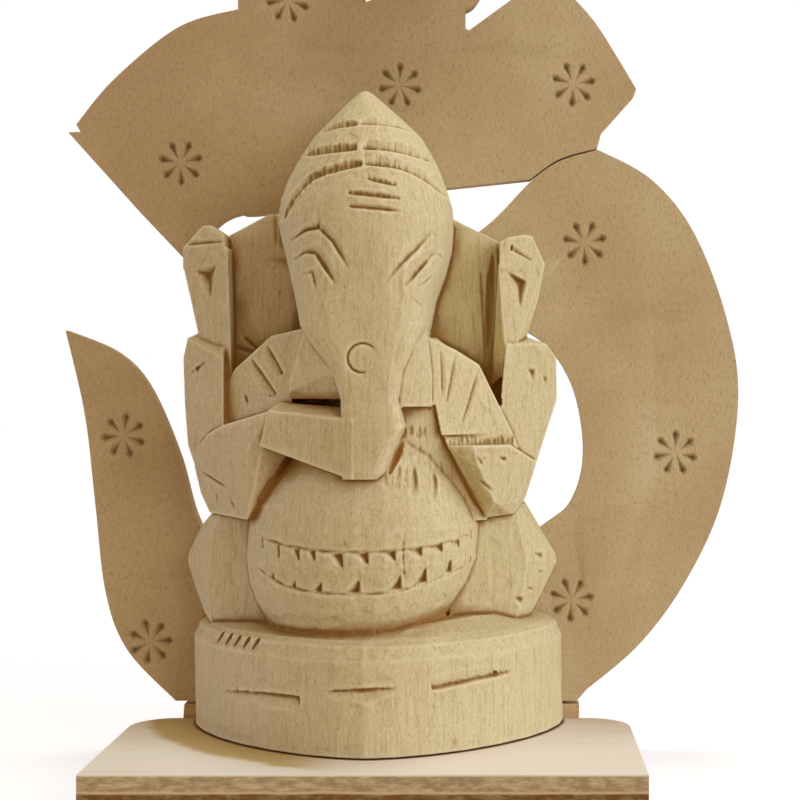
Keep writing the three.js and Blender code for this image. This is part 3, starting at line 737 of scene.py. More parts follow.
@dataclass(frozen=True)
class Plywood:
    """Sanded plywood: a pale face with a yellow-brown band and a painted contact shadow round the plinth,
    and sawn edges with two plies.

    Heights, places and ramps along X and Z are in millimetres. The plinth's foot follows a rounded curve
    about its middle, given by its half width, depth and roundness.
    """

    name: str = "plywood"
    face: Colour = (0.83, 0.80, 0.78)
    pink: Colour = (0.86, 0.79, 0.76)
    clouds: Pattern = Pattern(20, (0.5, 1.4, 1))
    pinkish: Ramp = Ramp(0.35, 0.7)
    grain: Pattern = Pattern(260, (0.07, 1, 1), detail=5, rough=0.6)
    smudge: Mark = Mark((0.55, 0.46, 0.34), Ramp(0.55, 0.8, end=0.4))
    edge: Colour = (0.38, 0.28, 0.165)
    low_edge: Colour = (0.19, 0.08, 0.02)
    saw: Pattern = Pattern(700, (0.35, 1, 1), rough=0.65)
    sawn_high: Ramp = Ramp(0.35, 0.75)
    sawn_low: Ramp = Ramp(0.4, 0.8)
    glue: Colour = (0.66, 0.54, 0.38)
    glue_height: float = 5.2
    glue_wander: float = 0.8
    wander: Pattern = Pattern(60, (1, 1, 0.1), detail=2)
    glue_line: Ramp = Ramp(0.15, 0.55, 0.85, 0.0)
    ply_change: Range = (0.3, 0.6)
    top_edge: Ramp = Ramp(9.3, 9.85)
    plinth_middle: tuple[float, float] = (-0.7, 32.2)
    plinth_half_width: float = 55.8
    plinth_depth: float = 52.0
    plinth_roundness: float = 1.63
    # Painted contact shadow: a dark line along the plinth's foot
    painted_contact_shadow: Mark = Mark((0.18, 0.06, 0.012), Ramp(0.99, 1.04, 1.0, 0.0))
    # A ragged yellow-brown band along the plinth's foot at the front left
    foot_band: Colour = (0.54, 0.39, 0.15)
    foot_band_reach: Ramp = Ramp(1.5, 1.68, 0.9, 0.0)
    foot_band_side: Ramp = Ramp(-24, -4, 1.0, 0.0)
    foot_band_rag: Pattern = Pattern(150, (0.6, 1, 1), detail=5, rough=0.65)
    foot_band_ragged: float = 0.3
    roughness: Ramp = Ramp(0.3, 0.8, 0.6, 0.8)
    bump_depth: float = 0.15
    bump_share: float = 0.35

    def material(self) -> bpy.types.Material:
        """Build the material.

        Returns:
            The new material.
        """
        sheet = NodeSheet(self.name)
        grain = sheet.noise(self.grain)
        saw = sheet.noise(self.saw)
        face = sheet.mix(sheet.window(sheet.noise(self.clouds), self.pinkish), self.face, self.pink)
        face = sheet.marked(face, grain, self.smudge)
        out = self.from_plinth(sheet)
        # Yellow-brown band along the plinth's foot at the front left
        face = sheet.mix(self.foot_band_share(sheet, out), face, self.foot_band)
        # Painted contact shadow along the plinth's foot
        face = sheet.marked(face, out, self.painted_contact_shadow)
        height = sheet.axis("Z")
        side = self.sawn_edge(sheet, saw, height)
        colour = sheet.mix(sheet.window(height, self.top_edge.in_metres()), side, face)
        normal = sheet.bump(saw, self.bump_depth, self.bump_share)
        return sheet.done(colour, sheet.window(grain, self.roughness), normal)

    def sawn_edge(
        self, sheet: NodeSheet, saw: bpy.types.NodeSocket, height: bpy.types.NodeSocket
    ) -> bpy.types.NodeSocket:
        """Colour the sawn edge: a dark ply, a wandering glue line and a lighter ply.

        Args:
            sheet: the node tree to add to.
            saw: the pattern that the saw left.
            height: height over the board's underside.

        Returns:
            The colour of the edge.
        """
        low = sheet.mix(sheet.window(saw, self.sawn_low), self.low_edge, self.edge)
        high = sheet.mix(sheet.window(saw, self.sawn_high), self.edge, self.glue)
        wander = sheet.math("MULTIPLY_ADD", sheet.noise(self.wander), self.glue_wander * MM, height)
        change = Ramp(*(self.glue_height + part for part in self.ply_change))
        side = sheet.mix(sheet.window(wander, change.in_metres()), low, high)
        middle = (self.glue_height + self.glue_wander / 2) * MM
        line = sheet.math("ABSOLUTE", sheet.math("SUBTRACT", wander, middle))
        return sheet.mix(sheet.window(line, self.glue_line.in_metres()), side, self.glue)

    def from_plinth(self, sheet: NodeSheet) -> bpy.types.NodeSocket:
        """Measure the distance from the plinth's foot.

        Args:
            sheet: the node tree to add to.

        Returns:
            A number that is 1 along the plinth's foot and grows outwards.
        """
        middle_x, middle_y = self.plinth_middle
        across = sheet.math("ABSOLUTE", sheet.math("ADD", sheet.axis("X"), -middle_x * MM))
        along = sheet.math("SUBTRACT", middle_y * MM, sheet.axis("Y"))
        return sheet.math(
            "ADD",
            *(
                sheet.math("POWER", sheet.math("DIVIDE", way, size * MM), self.plinth_roundness)
                for way, size in ((across, self.plinth_half_width), (along, self.plinth_depth))
            ),
        )

    def foot_band_share(self, sheet: NodeSheet, out: bpy.types.NodeSocket) -> bpy.types.NodeSocket:
        """Find the yellow-brown band that runs along the plinth's foot at the front left.

        Args:
            sheet: the node tree to add to.
            out: distance from the plinth's foot.

        Returns:
            The share of the band.
        """
        ragged = sheet.math("MULTIPLY_ADD", sheet.noise(self.foot_band_rag), self.foot_band_ragged, out)
        near = sheet.window(ragged, self.foot_band_reach)
        return sheet.product(near, sheet.window(sheet.axis("X"), self.foot_band_side.in_metres()))


@dataclass(frozen=True)
class RailWood:
    """Rough sawn strip of warm brown wood."""

    name: str = "rail_wood"
    brown: Colour = (0.50, 0.34, 0.17)
    light: Colour = (0.62, 0.46, 0.27)
    grain: Pattern = Pattern(420, (0.06, 1, 1), detail=5, rough=0.65, bend=0.4)
    streaky: Ramp = Ramp(0.3, 0.7)
    tears: Pattern = Pattern(700, (0.3, 1, 1), detail=3)
    tear: Mark = Mark((0.27, 0.16, 0.07), Ramp(0.58, 0.72, end=0.6))
    roughness: Ramp = Ramp(0.3, 0.8, 0.75, 0.92)
    bump_depth: float = 0.2
    bump_share: float = 0.6

    def material(self) -> bpy.types.Material:
        """Build the material.

        Returns:
            The new material.
        """
        sheet = NodeSheet(self.name)
        grain = sheet.noise(self.grain)
        tears = sheet.noise(self.tears)
        colour = sheet.mix(sheet.window(grain, self.streaky), self.brown, self.light)
        colour = sheet.marked(colour, tears, self.tear)
        normal = sheet.bump(grain, self.bump_depth, self.bump_share)
        return sheet.done(colour, sheet.window(tears, self.roughness), normal)


# The carved figure

# Only wood whose normal points at least this much towards the viewer is cut
FACING = -0.1
# Share of a stroke's depth at its ends, and how fast it grows to the whole
END_SHARE = 0.2
END_GROWTH = 4.0
# Distances in millimetres from the figure's flat back between which a cut finds its wood
ANYWHERE = (0.0, 60.0)
CROWN = (20.0, 56.0)
FRONT = (30.0, 58.0)
FORWARD = (20.0, 58.0)
PLINTH = (2.0, 58.0)
SLAB = (5.0, 13.0)
LEGS = (12.0, 34.0)
RIGHT_ARM = (18.0, 42.0)
LEFT_ARM = (14.0, 36.0)
UNDER_TUSK = (26.0, 50.0)
LEFT_FOREARM = (6.0, 26.0)


@dataclass(frozen=True)
class Stroke:
    """One knife cut on the front of the wood.

    Attributes:
        path: places that its deepest line follows.
        left: how far it opens to the left of the path.
        right: how far it opens to the right of the path.
        depth: its depth at the middle.
        level: the least and most distance from the figure's flat back at which there is wood to cut.
    """

    path: Path
    left: float
    right: float
    depth: float
    level: Range = ANYWHERE


def carved(places: np.ndarray, normals: np.ndarray, strokes: list[Stroke]) -> np.ndarray:
    """Find how deep strokes sink the wood.

    Args:
        places: rows of x, y, z in metres.
        normals: their unit normals.
        strokes: the cuts.

    Returns:
        The depth of each place in millimetres.
    """
    across, height = places[:, 0] / MM, places[:, 2] / MM
    forward = FIGURE_BACK - places[:, 1] / MM
    facing = normals[:, 1] < FACING
    sunk = np.zeros(len(places))
    for stroke in strokes:
        points = np.array(stroke.path)
        margin = max(stroke.left, stroke.right)
        low, high = points.min(axis=0) - margin, points.max(axis=0) + margin
        near = facing & (across > low[0]) & (across < high[0]) & (height > low[1]) & (height < high[1])
        near = np.flatnonzero(near & (forward > stroke.level[0]) & (forward < stroke.level[1]))
        spots = np.column_stack((across[near], height[near]))
        links = np.diff(points, axis=0)
        lengths = np.hypot(links[:, 0], links[:, 1])
        passed = np.concatenate(([0.0], np.cumsum(lengths)))
        depth = np.zeros(len(near))
        for start, link, length, before in zip(points, links, lengths, passed):
            share = np.clip((spots - start) @ link / length**2, 0, 1)
            offset = spots - start - share[:, None] * link
            is_left = link[0] * offset[:, 1] > link[1] * offset[:, 0]
            width = np.where(is_left, stroke.left, stroke.right)
            wall = np.clip(1 - np.linalg.norm(offset, axis=1) / width, 0, 1)
            run = (before + share * length) / passed[-1]
            ends = np.minimum(1, END_SHARE + END_GROWTH * np.minimum(run, 1 - run))
            depth = np.maximum(depth, stroke.depth * ends * wall)
        sunk[near] = np.maximum(sunk[near], depth)
    return sunk


@dataclass(frozen=True)
class Fibres:
    """A row of short, upright, torn strokes that start on a line.

    Attributes:
        line: places that the strokes start from.
        count: how many strokes there are.
        length: the shortest and longest stroke.
        depth: the shallowest and deepest stroke.
        lip: how far the strokes reach below the line.
        width: half the width of a stroke.
        level: as in a stroke.
        place: where in its own share of the line a stroke may start.
        widths: least and most share of the width.
        lean: how much strokes lean, as a share of their length.
    """

    line: Path
    count: int
    length: Range
    depth: Range
    lip: float = 0.3
    width: float = 0.55
    level: Range = ANYWHERE
    place: Range = (0.1, 0.9)
    widths: Range = (0.8, 1.3)
    lean: float = 0.06

    def strokes(self, rng: np.random.Generator) -> list[Stroke]:
        """Spread the strokes unevenly along the line.

        Args:
            rng: source of random numbers.

        Returns:
            The strokes.
        """
        points = np.array(self.line)
        reach = np.concatenate(([0.0], np.cumsum(np.hypot(*np.diff(points, axis=0).T))))
        at = (np.arange(self.count) + rng.uniform(*self.place, self.count)) / self.count * reach[-1]
        foot_x, foot_z = np.interp(at, reach, points[:, 0]), np.interp(at, reach, points[:, 1])
        rows = []
        for x, z in zip(foot_x, foot_z):
            low = z - self.lip * rng.uniform(0, 1)
            high = z + rng.uniform(*self.length)
            lean = rng.normal(0, self.lean) * (high - low)
            width = self.width * rng.uniform(*self.widths)
            path = ((x, low), (x + lean, high))
            rows.append(Stroke(path, width, width, rng.uniform(*self.depth), self.level))
        return rows


# Torn fibres over the ends of level cuts: crown, forehead, right tusk and arm, plinth's leaves, belly's foot
TORN_EDGES = (
    Fibres(((-14.6, 184.6), (-4.2, 185.4)), 9, (1.5, 3.2), (0.5, 1.1), 0.7, 0.7, CROWN),
    Fibres(((-3.6, 185.6), (10.6, 185.4)), 18, (3.0, 5.0), (0.12, 0.3), 0.1, 0.4, CROWN),
    Fibres(((-19.4, 177.4), (-4, 177.6)), 13, (1.6, 3.6), (0.5, 1.2), 0.8, 0.7, CROWN),
    Fibres(((-1.6, 177.9), (16.4, 176.4)), 24, (2.8, 4.8), (0.12, 0.35), 0.1, 0.4, CROWN),
    Fibres(((-25, 158.8), (-16, 169.8), (-2.4, 173)), 22, (1.2, 3.2), (0.4, 1.1), 0.7, 0.7, CROWN),
    Fibres(((-1.8, 173.2), (11, 171.6), (21, 165.8)), 30, (2.8, 4.8), (0.12, 0.35), 0.1, 0.4, CROWN),
    Fibres(((-0.8, 169.2), (7.2, 167.4)), 6, (0.8, 1.6), (0.3, 0.6), 0.4, 0.5, FRONT),
    Fibres(((-6, 165), (8.4, 163.8)), 10, (0.6, 1.3), (0.2, 0.5), 0.4, 0.5, FRONT),
    Fibres(((7.6, 98), (15.4, 98)), 8, (1.0, 3.0), (0.4, 0.9), 1.2, 0.6, UNDER_TUSK),
    Fibres(((21.5, 95.2), (39.5, 95.2)), 18, (0.8, 2.4), (0.3, 0.8), 0.7, 0.55, RIGHT_ARM),
    Fibres(((-40, 25.2), (-26, 26), (-21, 26)), 16, (0.4, 1.2), (0.2, 0.6), 0.8, 0.5, FORWARD),
    Fibres(((-10, 28.7), (-3.7, 29), (6, 29.4)), 12, (0.4, 1.0), (0.2, 0.5), 0.7, 0.5, FRONT),
    Fibres(((18, 28.2), (27.7, 29.4), (38, 30)), 18, (0.4, 1.2), (0.2, 0.5), 0.7, 0.5, FORWARD),
    Fibres(((-28, 42.4), (26, 42.2)), 26, (0.8, 2.2), (0.15, 0.45), 0.8, 0.6, FRONT),
)

# Long torn fibres on faces: the back slab, the upper belly, the plinth, the legs and the arms
TORN_FACES = (
    Fibres(((27, 122), (33.5, 118)), 8, (8, 24), (0.15, 0.35), 0.0, 0.45, SLAB),
    Fibres(((31.5, 116), (34, 118)), 4, (16, 34), (0.5, 1.0), 0.0, 0.6, SLAB),
    Fibres(((-31.5, 154), (-27, 152)), 5, (5, 10), (0.5, 1.0), 0.0, 0.6, SLAB),
    Fibres(((-36, 128), (-28, 130)), 7, (4, 16), (0.1, 0.25), 0.0, 0.5, SLAB),
    Fibres(((4, 84), (18, 80)), 12, (4, 10), (0.2, 0.55), 0.0, 0.55, FRONT),
    Fibres(((6, 92), (20, 86)), 12, (2, 6), (0.2, 0.5), 0.0, 0.5, FRONT),
    Fibres(((14, 12), (53, 12)), 26, (3, 13), (0.06, 0.2), 0.0, 0.5, PLINTH),
    Fibres(((-52, 12), (10, 11.5)), 18, (2, 8), (0.05, 0.14), 0.0, 0.5, PLINTH),
    Fibres(((28, 46), (40, 46)), 10, (5, 26), (0.05, 0.16), 0.0, 0.45, LEGS),
    Fibres(((-46, 46), (-34, 46)), 7, (5, 20), (0.05, 0.14), 0.0, 0.45, LEGS),
    Fibres(((19, 100), (37, 100)), 9, (4, 14), (0.05, 0.15), 0.0, 0.4, RIGHT_ARM),
    Fibres(((-44, 104), (-26, 108)), 9, (4, 14), (0.05, 0.15), 0.0, 0.4, LEFT_ARM),
)

# The belt's two sunk lines, and its triangles as place, width and height
BELT_TOP = ((-34.7, 70), (-23.7, 67.4), (-6.7, 66.1), (10.3, 66.6), (23.8, 68.4), (29.3, 71))
BELT_FOOT = ((-34.1, 60.8), (-23.7, 56), (-8.7, 54.4), (5.5, 54.7), (16.8, 57), (27.3, 60.6))
HANGING = (
    (-30.9, 2.4, 3.6),
    (-25.5, 2.2, 4.6),
    (-19.4, 3.6, 4.0),
    (-14.9, 3.2, 3.4),
    (-7.1, 5.4, 4.8),
    (-0.2, 4.5, 3.8),
    (7.1, 3.8, 3.0),
    (14.2, 3.8, 2.8),
    (19.7, 3.6, 2.8),
    (24.3, 2.6, 2.8),
    (27.7, 2.0, 2.6),
)
STANDING = (
    (-27.3, 2.4, 2.0),
    (-20.7, 2.6, 2.0),
    (-13.1, 4.0, 3.0),
    (-2.6, 5.4, 4.0),
    (8.6, 4.6, 4.4),
    (15.4, 4.4, 4.8),
    (22.1, 3.4, 4.2),
    (27.5, 2.0, 2.4),
)
# How far a triangle's deeper cut opens: millimetres on its steep side, a share of its width on the other
BELT_STEEP = 0.2
BELT_OPEN = 0.55
BELT_DEPTH = 0.75

# The row of slanting ticks on the plinth: foot and head of the first, and the pace from one to the next
TICK_COUNT = 5
TICK_PACE = 3.0
TICK_FOOT = (-46.2, 37.2)
TICK_HEAD = (-43.9, 41.0)


def arc(centre: Place, radius: float, start: float, end: float) -> Path:
    """Return places on an arc between two angles in degrees."""
    angles = np.radians(np.linspace(start, end, 12))
    return tuple((centre[0] + radius * math.cos(a), centre[1] + radius * math.sin(a)) for a in angles)


def belt_strokes() -> list[Stroke]:
    """Deepen the belt's triangles along their upright sides.

    Returns:
        One cut for each triangle.
    """
    rows = []
    for sizes, line, up in ((HANGING, BELT_TOP, -1), (STANDING, BELT_FOOT, 1)):
        places, heights = zip(*line)
        for x, width, height in sizes:
            z = float(np.interp(x, places, heights))
            ends = sorted((z, z + up * height), reverse=True)
            path = ((x, ends[0]), (x, ends[1]))
            rows.append(Stroke(path, BELT_STEEP, BELT_OPEN * width, BELT_DEPTH, FRONT))
    return rows


def plinth_ticks() -> list[Stroke]:
    """Deepen the row of slanting ticks on the plinth.

    Returns:
        One cut for each tick.
    """
    rows = []
    for number in range(TICK_COUNT):
        path = tuple((TICK_PACE * number + x, z) for x, z in (TICK_FOOT, TICK_HEAD))
        rows.append(Stroke(path, 0.5, 0.9, 0.7, FORWARD))
    return rows


# Belt, ticks, trunk ring, the belt's upright crack, left eye, slab's foot twice, left forearm, right arm
FINE_CUTS = (
    *belt_strokes(),
    *plinth_ticks(),
    Stroke(arc((-1.7, 119.5), 4.1, 18, 306), 0.5, 0.5, 0.6, FRONT),
    Stroke(((9.4, 71.5), (9.2, 64), (9.6, 57.5)), 0.4, 0.4, 0.45, FRONT),
    Stroke(((-22.3, 152.8), (-17.9, 155.2), (-14.4, 155.6), (-13.6, 158.6)), 0.7, 0.5, 0.7, FRONT),
    Stroke(((-45.6, 124.4), (-36.4, 121.4)), 0.6, 0.9, 1.0, SLAB),
    Stroke(((-41.4, 127), (-35.6, 121.8)), 0.5, 0.8, 1.0, SLAB),
    Stroke(((-57, 115.6), (-51.4, 119.4)), 0.4, 0.9, 0.6, LEFT_FOREARM),
    Stroke(((29.4, 91.8), (31, 89.6)), 0.6, 0.9, 0.6, RIGHT_ARM),
)


@dataclass
class GaneshaFigure:
    """The figure with its plinth: the CAD solid with knife facets, torn edges and fibres.

    Attributes:
        voxel: size of the refined mesh's cells in millimetres.
        smoothing: share by which the refined mesh is smoothed once.
        facet_trials: how many places are drawn as middles of facets.
        facet_size: width of a facet in millimetres.
        facet_room: least distance between two middles, as a share of that width.
        facet_depth: how far a facet may sink the wood.
        facet_wobble: size in millimetres of the waves in a facet's rim.
        alike: least likeness of a place's normal to its facet's, and the range over which it counts in full.
        calm_depth: depth of carving in millimetres beside which no facet is cut.
        torn_depth: depth at which a torn place counts in full.
        fine_relief: rounds and depth by which fine hollows and ridges are measured.
        broad_relief: the same for broad hollows.
        most_triangles: how many triangles the finished mesh has.
        node: the CAD node.
        finish: the wood.
    """

    voxel: float = 0.36
    smoothing: float = 0.3
    facet_trials: int = 2600
    facet_size: float = 7.5
    facet_room: float = 0.6
    facet_depth: float = 0.2
    facet_wobble: float = 4.0
    alike: Range = (0.86, 0.1)
    calm_depth: float = 0.03
    torn_depth: float = 0.5
    fine_relief: tuple[int, float] = (12, 0.24)
    broad_relief: tuple[int, float] = (36, 0.55)
    most_triangles: int = 190_000
    node: str = "ganesha_figure"
    finish: CarvedWood = field(default_factory=CarvedWood)

    def build(self) -> bpy.types.Object:
        """Refine the solid and dress it.

        Returns:
            The finished piece.
        """
        piece = merged_copy(self.node, "carved_ganesha")
        apply_modifier(piece, "REMESH", mode="VOXEL", voxel_size=self.voxel * MM, adaptivity=0.0)
        apply_modifier(piece, "SMOOTH", factor=self.smoothing, iterations=1)
        self.cut_facets(piece)
        torn = self.cut_strokes(piece)
        hollow, ridge = relief(piece, *self.fine_relief)
        broad, _ = relief(piece, *self.broad_relief)
        dense = coordinates(piece)
        self.thin(piece)
        nearest = nearest_rows(coordinates(piece), dense)
        # hollow, broad and ridge measure the carving; the wood paints shade into hollows and a highlight on
        # ridges from them
        for name, values in (("torn", torn), ("hollow", hollow), ("broad", broad), ("ridge", ridge)):
            put_attribute(piece, name, values[nearest])
        # How enclosed each place is; the wood paints shade from it
        put_attribute(piece, "shade", shade(piece))
        bpy.ops.object.shade_smooth()
        finish_piece(piece, self.node, self.finish.material())
        return piece

    def cut_facets(self, piece: bpy.types.Object) -> None:
        """Flatten the rounded wood into shallow knife facets, away from the carving.

        Args:
            piece: the refined figure.
        """
        places = coordinates(piece)
        normals = vertex_normals(piece)
        edges = edge_ends(piece)
        rng = np.random.default_rng(FACET_SEED)
        seeds = self.apart(places[rng.choice(len(places), self.facet_trials, replace=False)])
        tree = tree_of(seeds)
        wobble = [value_noise(places, self.facet_wobble, WOBBLE_SEED + axis) for axis in range(3)]
        owner = np.array([tree.find(place)[1] for place in places + np.stack(wobble, axis=1) * MM])
        count = len(seeds)
        size = np.bincount(owner, minlength=count)[:, None] + TINY
        centre = np.stack([np.bincount(owner, places[:, k], count) for k in range(3)], axis=1) / size
        facing = np.stack([np.bincount(owner, normals[:, k], count) for k in range(3)], axis=1)
        facing /= np.linalg.norm(facing, axis=1)[:, None] + TINY
        offset = np.einsum("ij,ij->i", places - centre[owner], facing[owner])
        least, span = self.alike
        alike = np.clip((np.einsum("ij,ij->i", normals, facing[owner]) - least) / span, 0, 1)
        rough = np.abs(np.einsum("ij,ij->i", places - spread(places, edges, 6), normals)) / MM
        calm = spread(np.clip(1.4 - rough / self.calm_depth, 0, 1), edges, 4)
        level = self.facet_depth * MM
        move = np.clip(offset, -0.1 * level, level) * alike * calm
        put_coordinates(piece, places - facing[owner] * move[:, None])

    def apart(self, seeds: np.ndarray) -> np.ndarray:
        """Leave out seeds that lie too close to an earlier one.

        Args:
            seeds: rows of x, y, z in metres.

        Returns:
            The rows that are left.
        """
        tree = tree_of(seeds)
        chosen = np.ones(len(seeds), bool)
        for number, seed in enumerate(seeds):
            if chosen[number]:
                for _, other, _ in tree.find_range(seed, self.facet_size * MM * self.facet_room):
                    if other > number:
                        chosen[other] = False
        return seeds[chosen]

    def cut_strokes(self, piece: bpy.types.Object) -> np.ndarray:
        """Cut the fine strokes and torn fibres.

        Args:
            piece: the refined figure.

        Returns:
            How torn each place is, from 0 to 1.
        """
        rng = np.random.default_rng(FIBRE_SEED)
        places = coordinates(piece)
        normals = vertex_normals(piece)
        ragged = [stroke for row in TORN_EDGES + TORN_FACES for stroke in row.strokes(rng)]
        torn = carved(places, normals, ragged)
        sunk = np.maximum(torn, carved(places, normals, list(FINE_CUTS)))
        places[:, 1] += sunk * MM
        put_coordinates(piece, places)
        return spread(np.clip(torn / self.torn_depth, 0, 1), edge_ends(piece), 1)

    def thin(self, piece: bpy.types.Object) -> None:
        """Reduce the mesh where it is flat.

        Args:
            piece: the carved figure.
        """
        piece.data.calc_loop_triangles()
        ratio = self.most_triangles / len(piece.data.loop_triangles)
        if ratio < 1:
            apply_modifier(piece, "DECIMATE", ratio=ratio)


def relief(piece: bpy.types.Object, reach: int, depth: float) -> tuple[np.ndarray, np.ndarray]:
    """Measure how far each place lies under or over its surroundings.

    Args:
        piece: the piece to measure.
        reach: how many rounds of averaging make up the surroundings.
        depth: depth in millimetres that counts as fully hollow.

    Returns:
        The hollow and the ridge of each vertex, from 0 to 1.
    """
    places = coordinates(piece)
    normals = vertex_normals(piece)
    edges = edge_ends(piece)
    around = spread(places, edges, reach)
    height = np.einsum("ij,ij->i", places - around, normals) / (depth * MM)
    height = spread(height, edges, 1)
    return np.clip(-height, 0, 1), np.clip(height, 0, 1)


def tree_of(places: np.ndarray) -> kdtree.KDTree:
    """Sort places for quick searches.

    Args:
        places: rows of x, y, z.

    Returns:
        A tree that finds them by their row numbers.
    """
    tree = kdtree.KDTree(len(places))
    for number, place in enumerate(places):
        tree.insert(place, number)
    tree.balance()
    return tree


def nearest_rows(places: np.ndarray, among: np.ndarray) -> np.ndarray:
    """Return for each place the number of the nearest row among others."""
    tree = tree_of(among)
    return np.array([tree.find(place)[1] for place in places])


def shade(piece: bpy.types.Object, reach: float = 16.0, rays: int = 14, lift: float = 0.25) -> np.ndarray:
    """Measure how enclosed each place is by the wood around it.

    Args:
        piece: the piece to measure.
        reach: distance in millimetres beyond which wood no longer counts.
        rays: how many directions are tried from each place.
        lift: distance in millimetres over the surface at which they start.

    Returns:
        One value for each vertex: 0 in the open, 1 where it is fully enclosed.
    """
    tree = BVHTree.FromObject(piece, bpy.context.evaluated_depsgraph_get())
    turns = np.arange(rays) * math.pi * (3 - math.sqrt(5))
    lean = np.sqrt((np.arange(rays) + 0.5) / rays)
    around = np.stack([lean * np.cos(turns), lean * np.sin(turns), np.sqrt(1 - lean**2)], axis=1)
    places = coordinates(piece)
    normals = vertex_normals(piece)
    helper = np.where(np.abs(normals[:, 2:3]) < 0.9, [[0.0, 0.0, 1.0]], [[1.0, 0.0, 0.0]])
    side = np.cross(normals, helper)
    side /= np.maximum(np.linalg.norm(side, axis=1)[:, None], TINY)
    other = np.cross(normals, side)
    starts = places + normals * lift * MM
    total = np.zeros(len(places))
    for u, v, w in around:
        ways = side * u + other * v + normals * w
        for number, (start, way) in enumerate(zip(starts, ways)):
            distance = tree.ray_cast(start, way, reach * MM)[3]
            if distance is not None:
                total[number] += 1 - distance / (reach * MM)
    return spread(total / rays, edge_ends(piece), 2)


# Board, rail and panels


@dataclass
class BaseBoard:
    """The plywood board that carries everything."""

    arris: Arris = Arris(0.5, 3, 40.0, 20.0)
    node: str = "base_board"
    finish: Plywood = field(default_factory=Plywood)

    def build(self) -> bpy.types.Object:
        """Soften the board's edges and dress it.

        Returns:
            The finished piece.
        """
        piece = merged_copy(self.node, "plywood_board")
        soften(piece, self.arris)
        finish_piece(piece, self.node, self.finish.material())
        return piece


@dataclass
class BackRail:
    """The strip along the board's back edge."""

    arris: Arris = Arris(0.4, 2, 40.0, 20.0)
    node: str = "back_rail"
    finish: RailWood = field(default_factory=RailWood)

    def build(self) -> bpy.types.Object:
        """Soften the rail's edges and dress it.

        Returns:
            The finished piece.
        """
        piece = merged_copy(self.node, "rail_strip")
        soften(piece, self.arris)
        finish_piece(piece, self.node, self.finish.material())
        return piece


@dataclass
class OmPanel:
    """One sheet of the Om outline, with sanded arrises and gouged flowers.

    Attributes:
        part: which of the two sheets.
        material: the wood that both share.
        arris: its softened edge.
        pit_start: depth in millimetres under the front face at which the painted shade in a gouge starts.
        pit_range: further depth at which it is fully dark.
        pit_limit: depth beyond which a place belongs to the sheet's sides or back.
    """

    part: PanelPart
    material: bpy.types.Material
    arris: Arris = Arris(0.35, 2, 50.0, 8.0)
    pit_start: float = 0.4
    pit_range: float = 1.1
    pit_limit: float = 2.0

    def build(self) -> bpy.types.Object:
        """Soften the sheet's edges and dress it.

        Returns:
            The finished piece.
        """
        piece = merged_copy(self.part.value, f"sawn_{self.part.value}")
        soften(piece, self.arris)
        depth = coordinates(piece)[:, 1] / MM - PANEL_FRONT
        # Share of painted shade in a gouge, from the depth under the front face
        pit = np.clip((depth - self.pit_start) / self.pit_range, 0, 1)
        put_attribute(piece, "pit", np.where(depth < self.pit_limit, pit, 0))
        finish_piece(piece, self.part.value, self.material)
        return piece


# Studio


@dataclass(frozen=True)
class SoftLight:
    """A distant, soft light.

    Attributes:
        name: name of the lamp.
        towards: direction from the object to the lamp.
        softness: apparent size of the lamp in degrees.
        power: its strength in each colour.
    """

    name: str
    towards: tuple[float, float, float]
    softness: float
    power: Colour

    def hang(self) -> None:
        """Add the lamp to the scene."""
        lamp = bpy.data.lights.new(self.name, "SUN")
        lamp.energy = max(self.power)
        lamp.color = tuple(part / lamp.energy for part in self.power)
        lamp.angle = math.radians(self.softness)
        holder = bpy.data.objects.new(self.name, lamp)
        bpy.context.scene.collection.objects.link(holder)
        holder.rotation_euler = (-Vector(self.towards)).to_track_quat("-Z", "Y").to_euler()


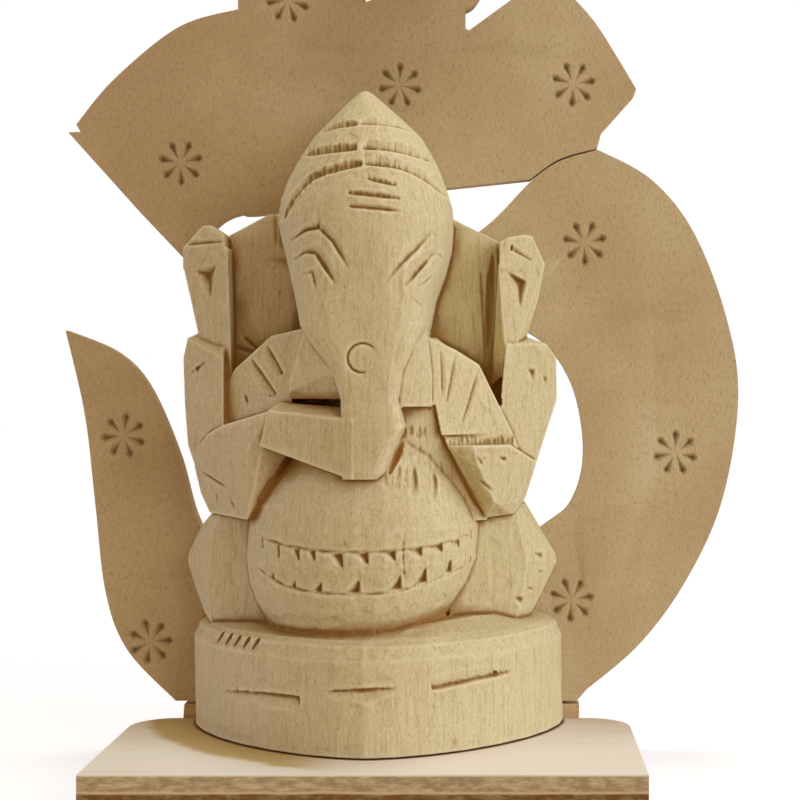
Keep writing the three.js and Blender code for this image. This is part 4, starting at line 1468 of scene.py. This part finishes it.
@dataclass
class Studio:
    """Pale floor, soft light and the camera.

    The camera's place, lens and sensor are in millimetres, its nearest distance and the floor's radius in
    metres. The floor glows weakly, and the ambient light comes from all round.
    """

    camera_place: tuple[float, float, float] = (36.0, -455.05, 111.0)
    lens: float = 72.0
    sensor: float = 36.0
    frame_shift: tuple[float, float] = (-0.125, -0.01375)
    nearest: float = 0.01
    floor_radius: float = 4.0
    floor_cloud: Pattern = Pattern(6, detail=2)
    floor_colour: Colour = (0.42, 0.42, 0.44)
    floor_mark: Mark = Mark((0.37, 0.37, 0.38), Ramp(0.3, 0.7, end=0.1))
    floor_roughness: float = 0.8
    floor_glow: float = 0.7
    floor_glow_colour: Colour = (0.97, 0.98, 1.04)
    ambient: Colour = (0.44, 0.30, 0.13)
    backdrop: Colour = (1.0, 1.0, 1.0)
    lights: tuple[SoftLight, ...] = (
        SoftLight("right", (1.0, -0.15, 0.3), 40, (0.86, 0.92, 1.22)),
        SoftLight("front_right", (0.75, -0.7, 0.35), 40, (0.84, 0.88, 0.82)),
        SoftLight("low_front", (0.0, -1.0, -0.35), 50, (0.32, 0.31, 0.32)),
        SoftLight("overhead", (0.05, 0.12, 1.0), 12, (0.85, 0.92, 0.84)),
        SoftLight("left", (-1.0, 0.0, 0.15), 40, (0.56, 0.76, 0.95)),
    )

    def build(self) -> None:
        """Make the floor, the lights and the camera."""
        self.add_floor()
        self.add_sky()
        for light in self.lights:
            light.hang()
        self.add_camera()

    def add_floor(self) -> None:
        """Lay a wide, flat, round floor."""
        bpy.ops.object.select_all(action="DESELECT")
        bpy.ops.mesh.primitive_circle_add(vertices=96, radius=self.floor_radius, fill_type="NGON")
        floor = bpy.context.object
        floor.name = "studio_floor"
        bpy.ops.object.transform_apply(location=True, rotation=True, scale=True)
        sheet = NodeSheet("studio_floor")
        cloud = sheet.noise(self.floor_cloud)
        colour = sheet.marked(self.floor_colour, cloud, self.floor_mark)
        sheet.feed(sheet.shader.inputs["Emission Color"], self.floor_glow_colour)
        sheet.feed(sheet.shader.inputs["Emission Strength"], self.floor_glow)
        normal = sheet.bump(cloud, 0.1, 0.05)
        floor.data.materials.append(sheet.done(colour, self.floor_roughness, normal))
        floor.visible_diffuse = False

    def add_sky(self) -> None:
        """Surround the scene with a white backdrop that sheds a warm, weak light."""
        world = bpy.data.worlds.new("studio")
        bpy.context.scene.world = world
        world.use_nodes = True
        tree = world.node_tree
        shed = tree.nodes["Background"]
        shed.inputs["Color"].default_value = (*self.ambient, 1.0)
        shed.inputs["Strength"].default_value = 1.0
        seen = tree.nodes.new("ShaderNodeBackground")
        seen.inputs["Color"].default_value = (*self.backdrop, 1.0)
        path = tree.nodes.new("ShaderNodeLightPath")
        mix = tree.nodes.new("ShaderNodeMixShader")
        tree.links.new(path.outputs["Is Camera Ray"], mix.inputs[0])
        tree.links.new(shed.outputs[0], mix.inputs[1])
        tree.links.new(seen.outputs[0], mix.inputs[2])
        tree.links.new(mix.outputs[0], tree.nodes["World Output"].inputs["Surface"])

    def add_camera(self) -> None:
        """Place the camera level before the object, a little to the right, its frame shifted to the left."""
        camera = bpy.data.cameras.new("camera")
        camera.sensor_width = self.sensor
        camera.lens = self.lens
        camera.shift_x, camera.shift_y = self.frame_shift
        camera.clip_start = self.nearest
        holder = bpy.data.objects.new("camera", camera)
        bpy.context.scene.collection.objects.link(holder)
        holder.location = Vector(self.camera_place) * MM
        holder.rotation_euler = (math.radians(90), 0.0, 0.0)
        bpy.context.scene.camera = holder
        bpy.context.scene.view_settings.view_transform = "Standard"


def main() -> None:
    """Build every piece in order."""
    logging.basicConfig(level=logging.INFO, format="%(name)s: %(message)s")
    Studio().build()
    GaneshaFigure().build()
    BaseBoard().build()
    BackRail().build()
    panel_material = PanelWood().material()
    for part in PanelPart:
        OmPanel(part, panel_material).build()


if __name__ == "__main__":
    main()
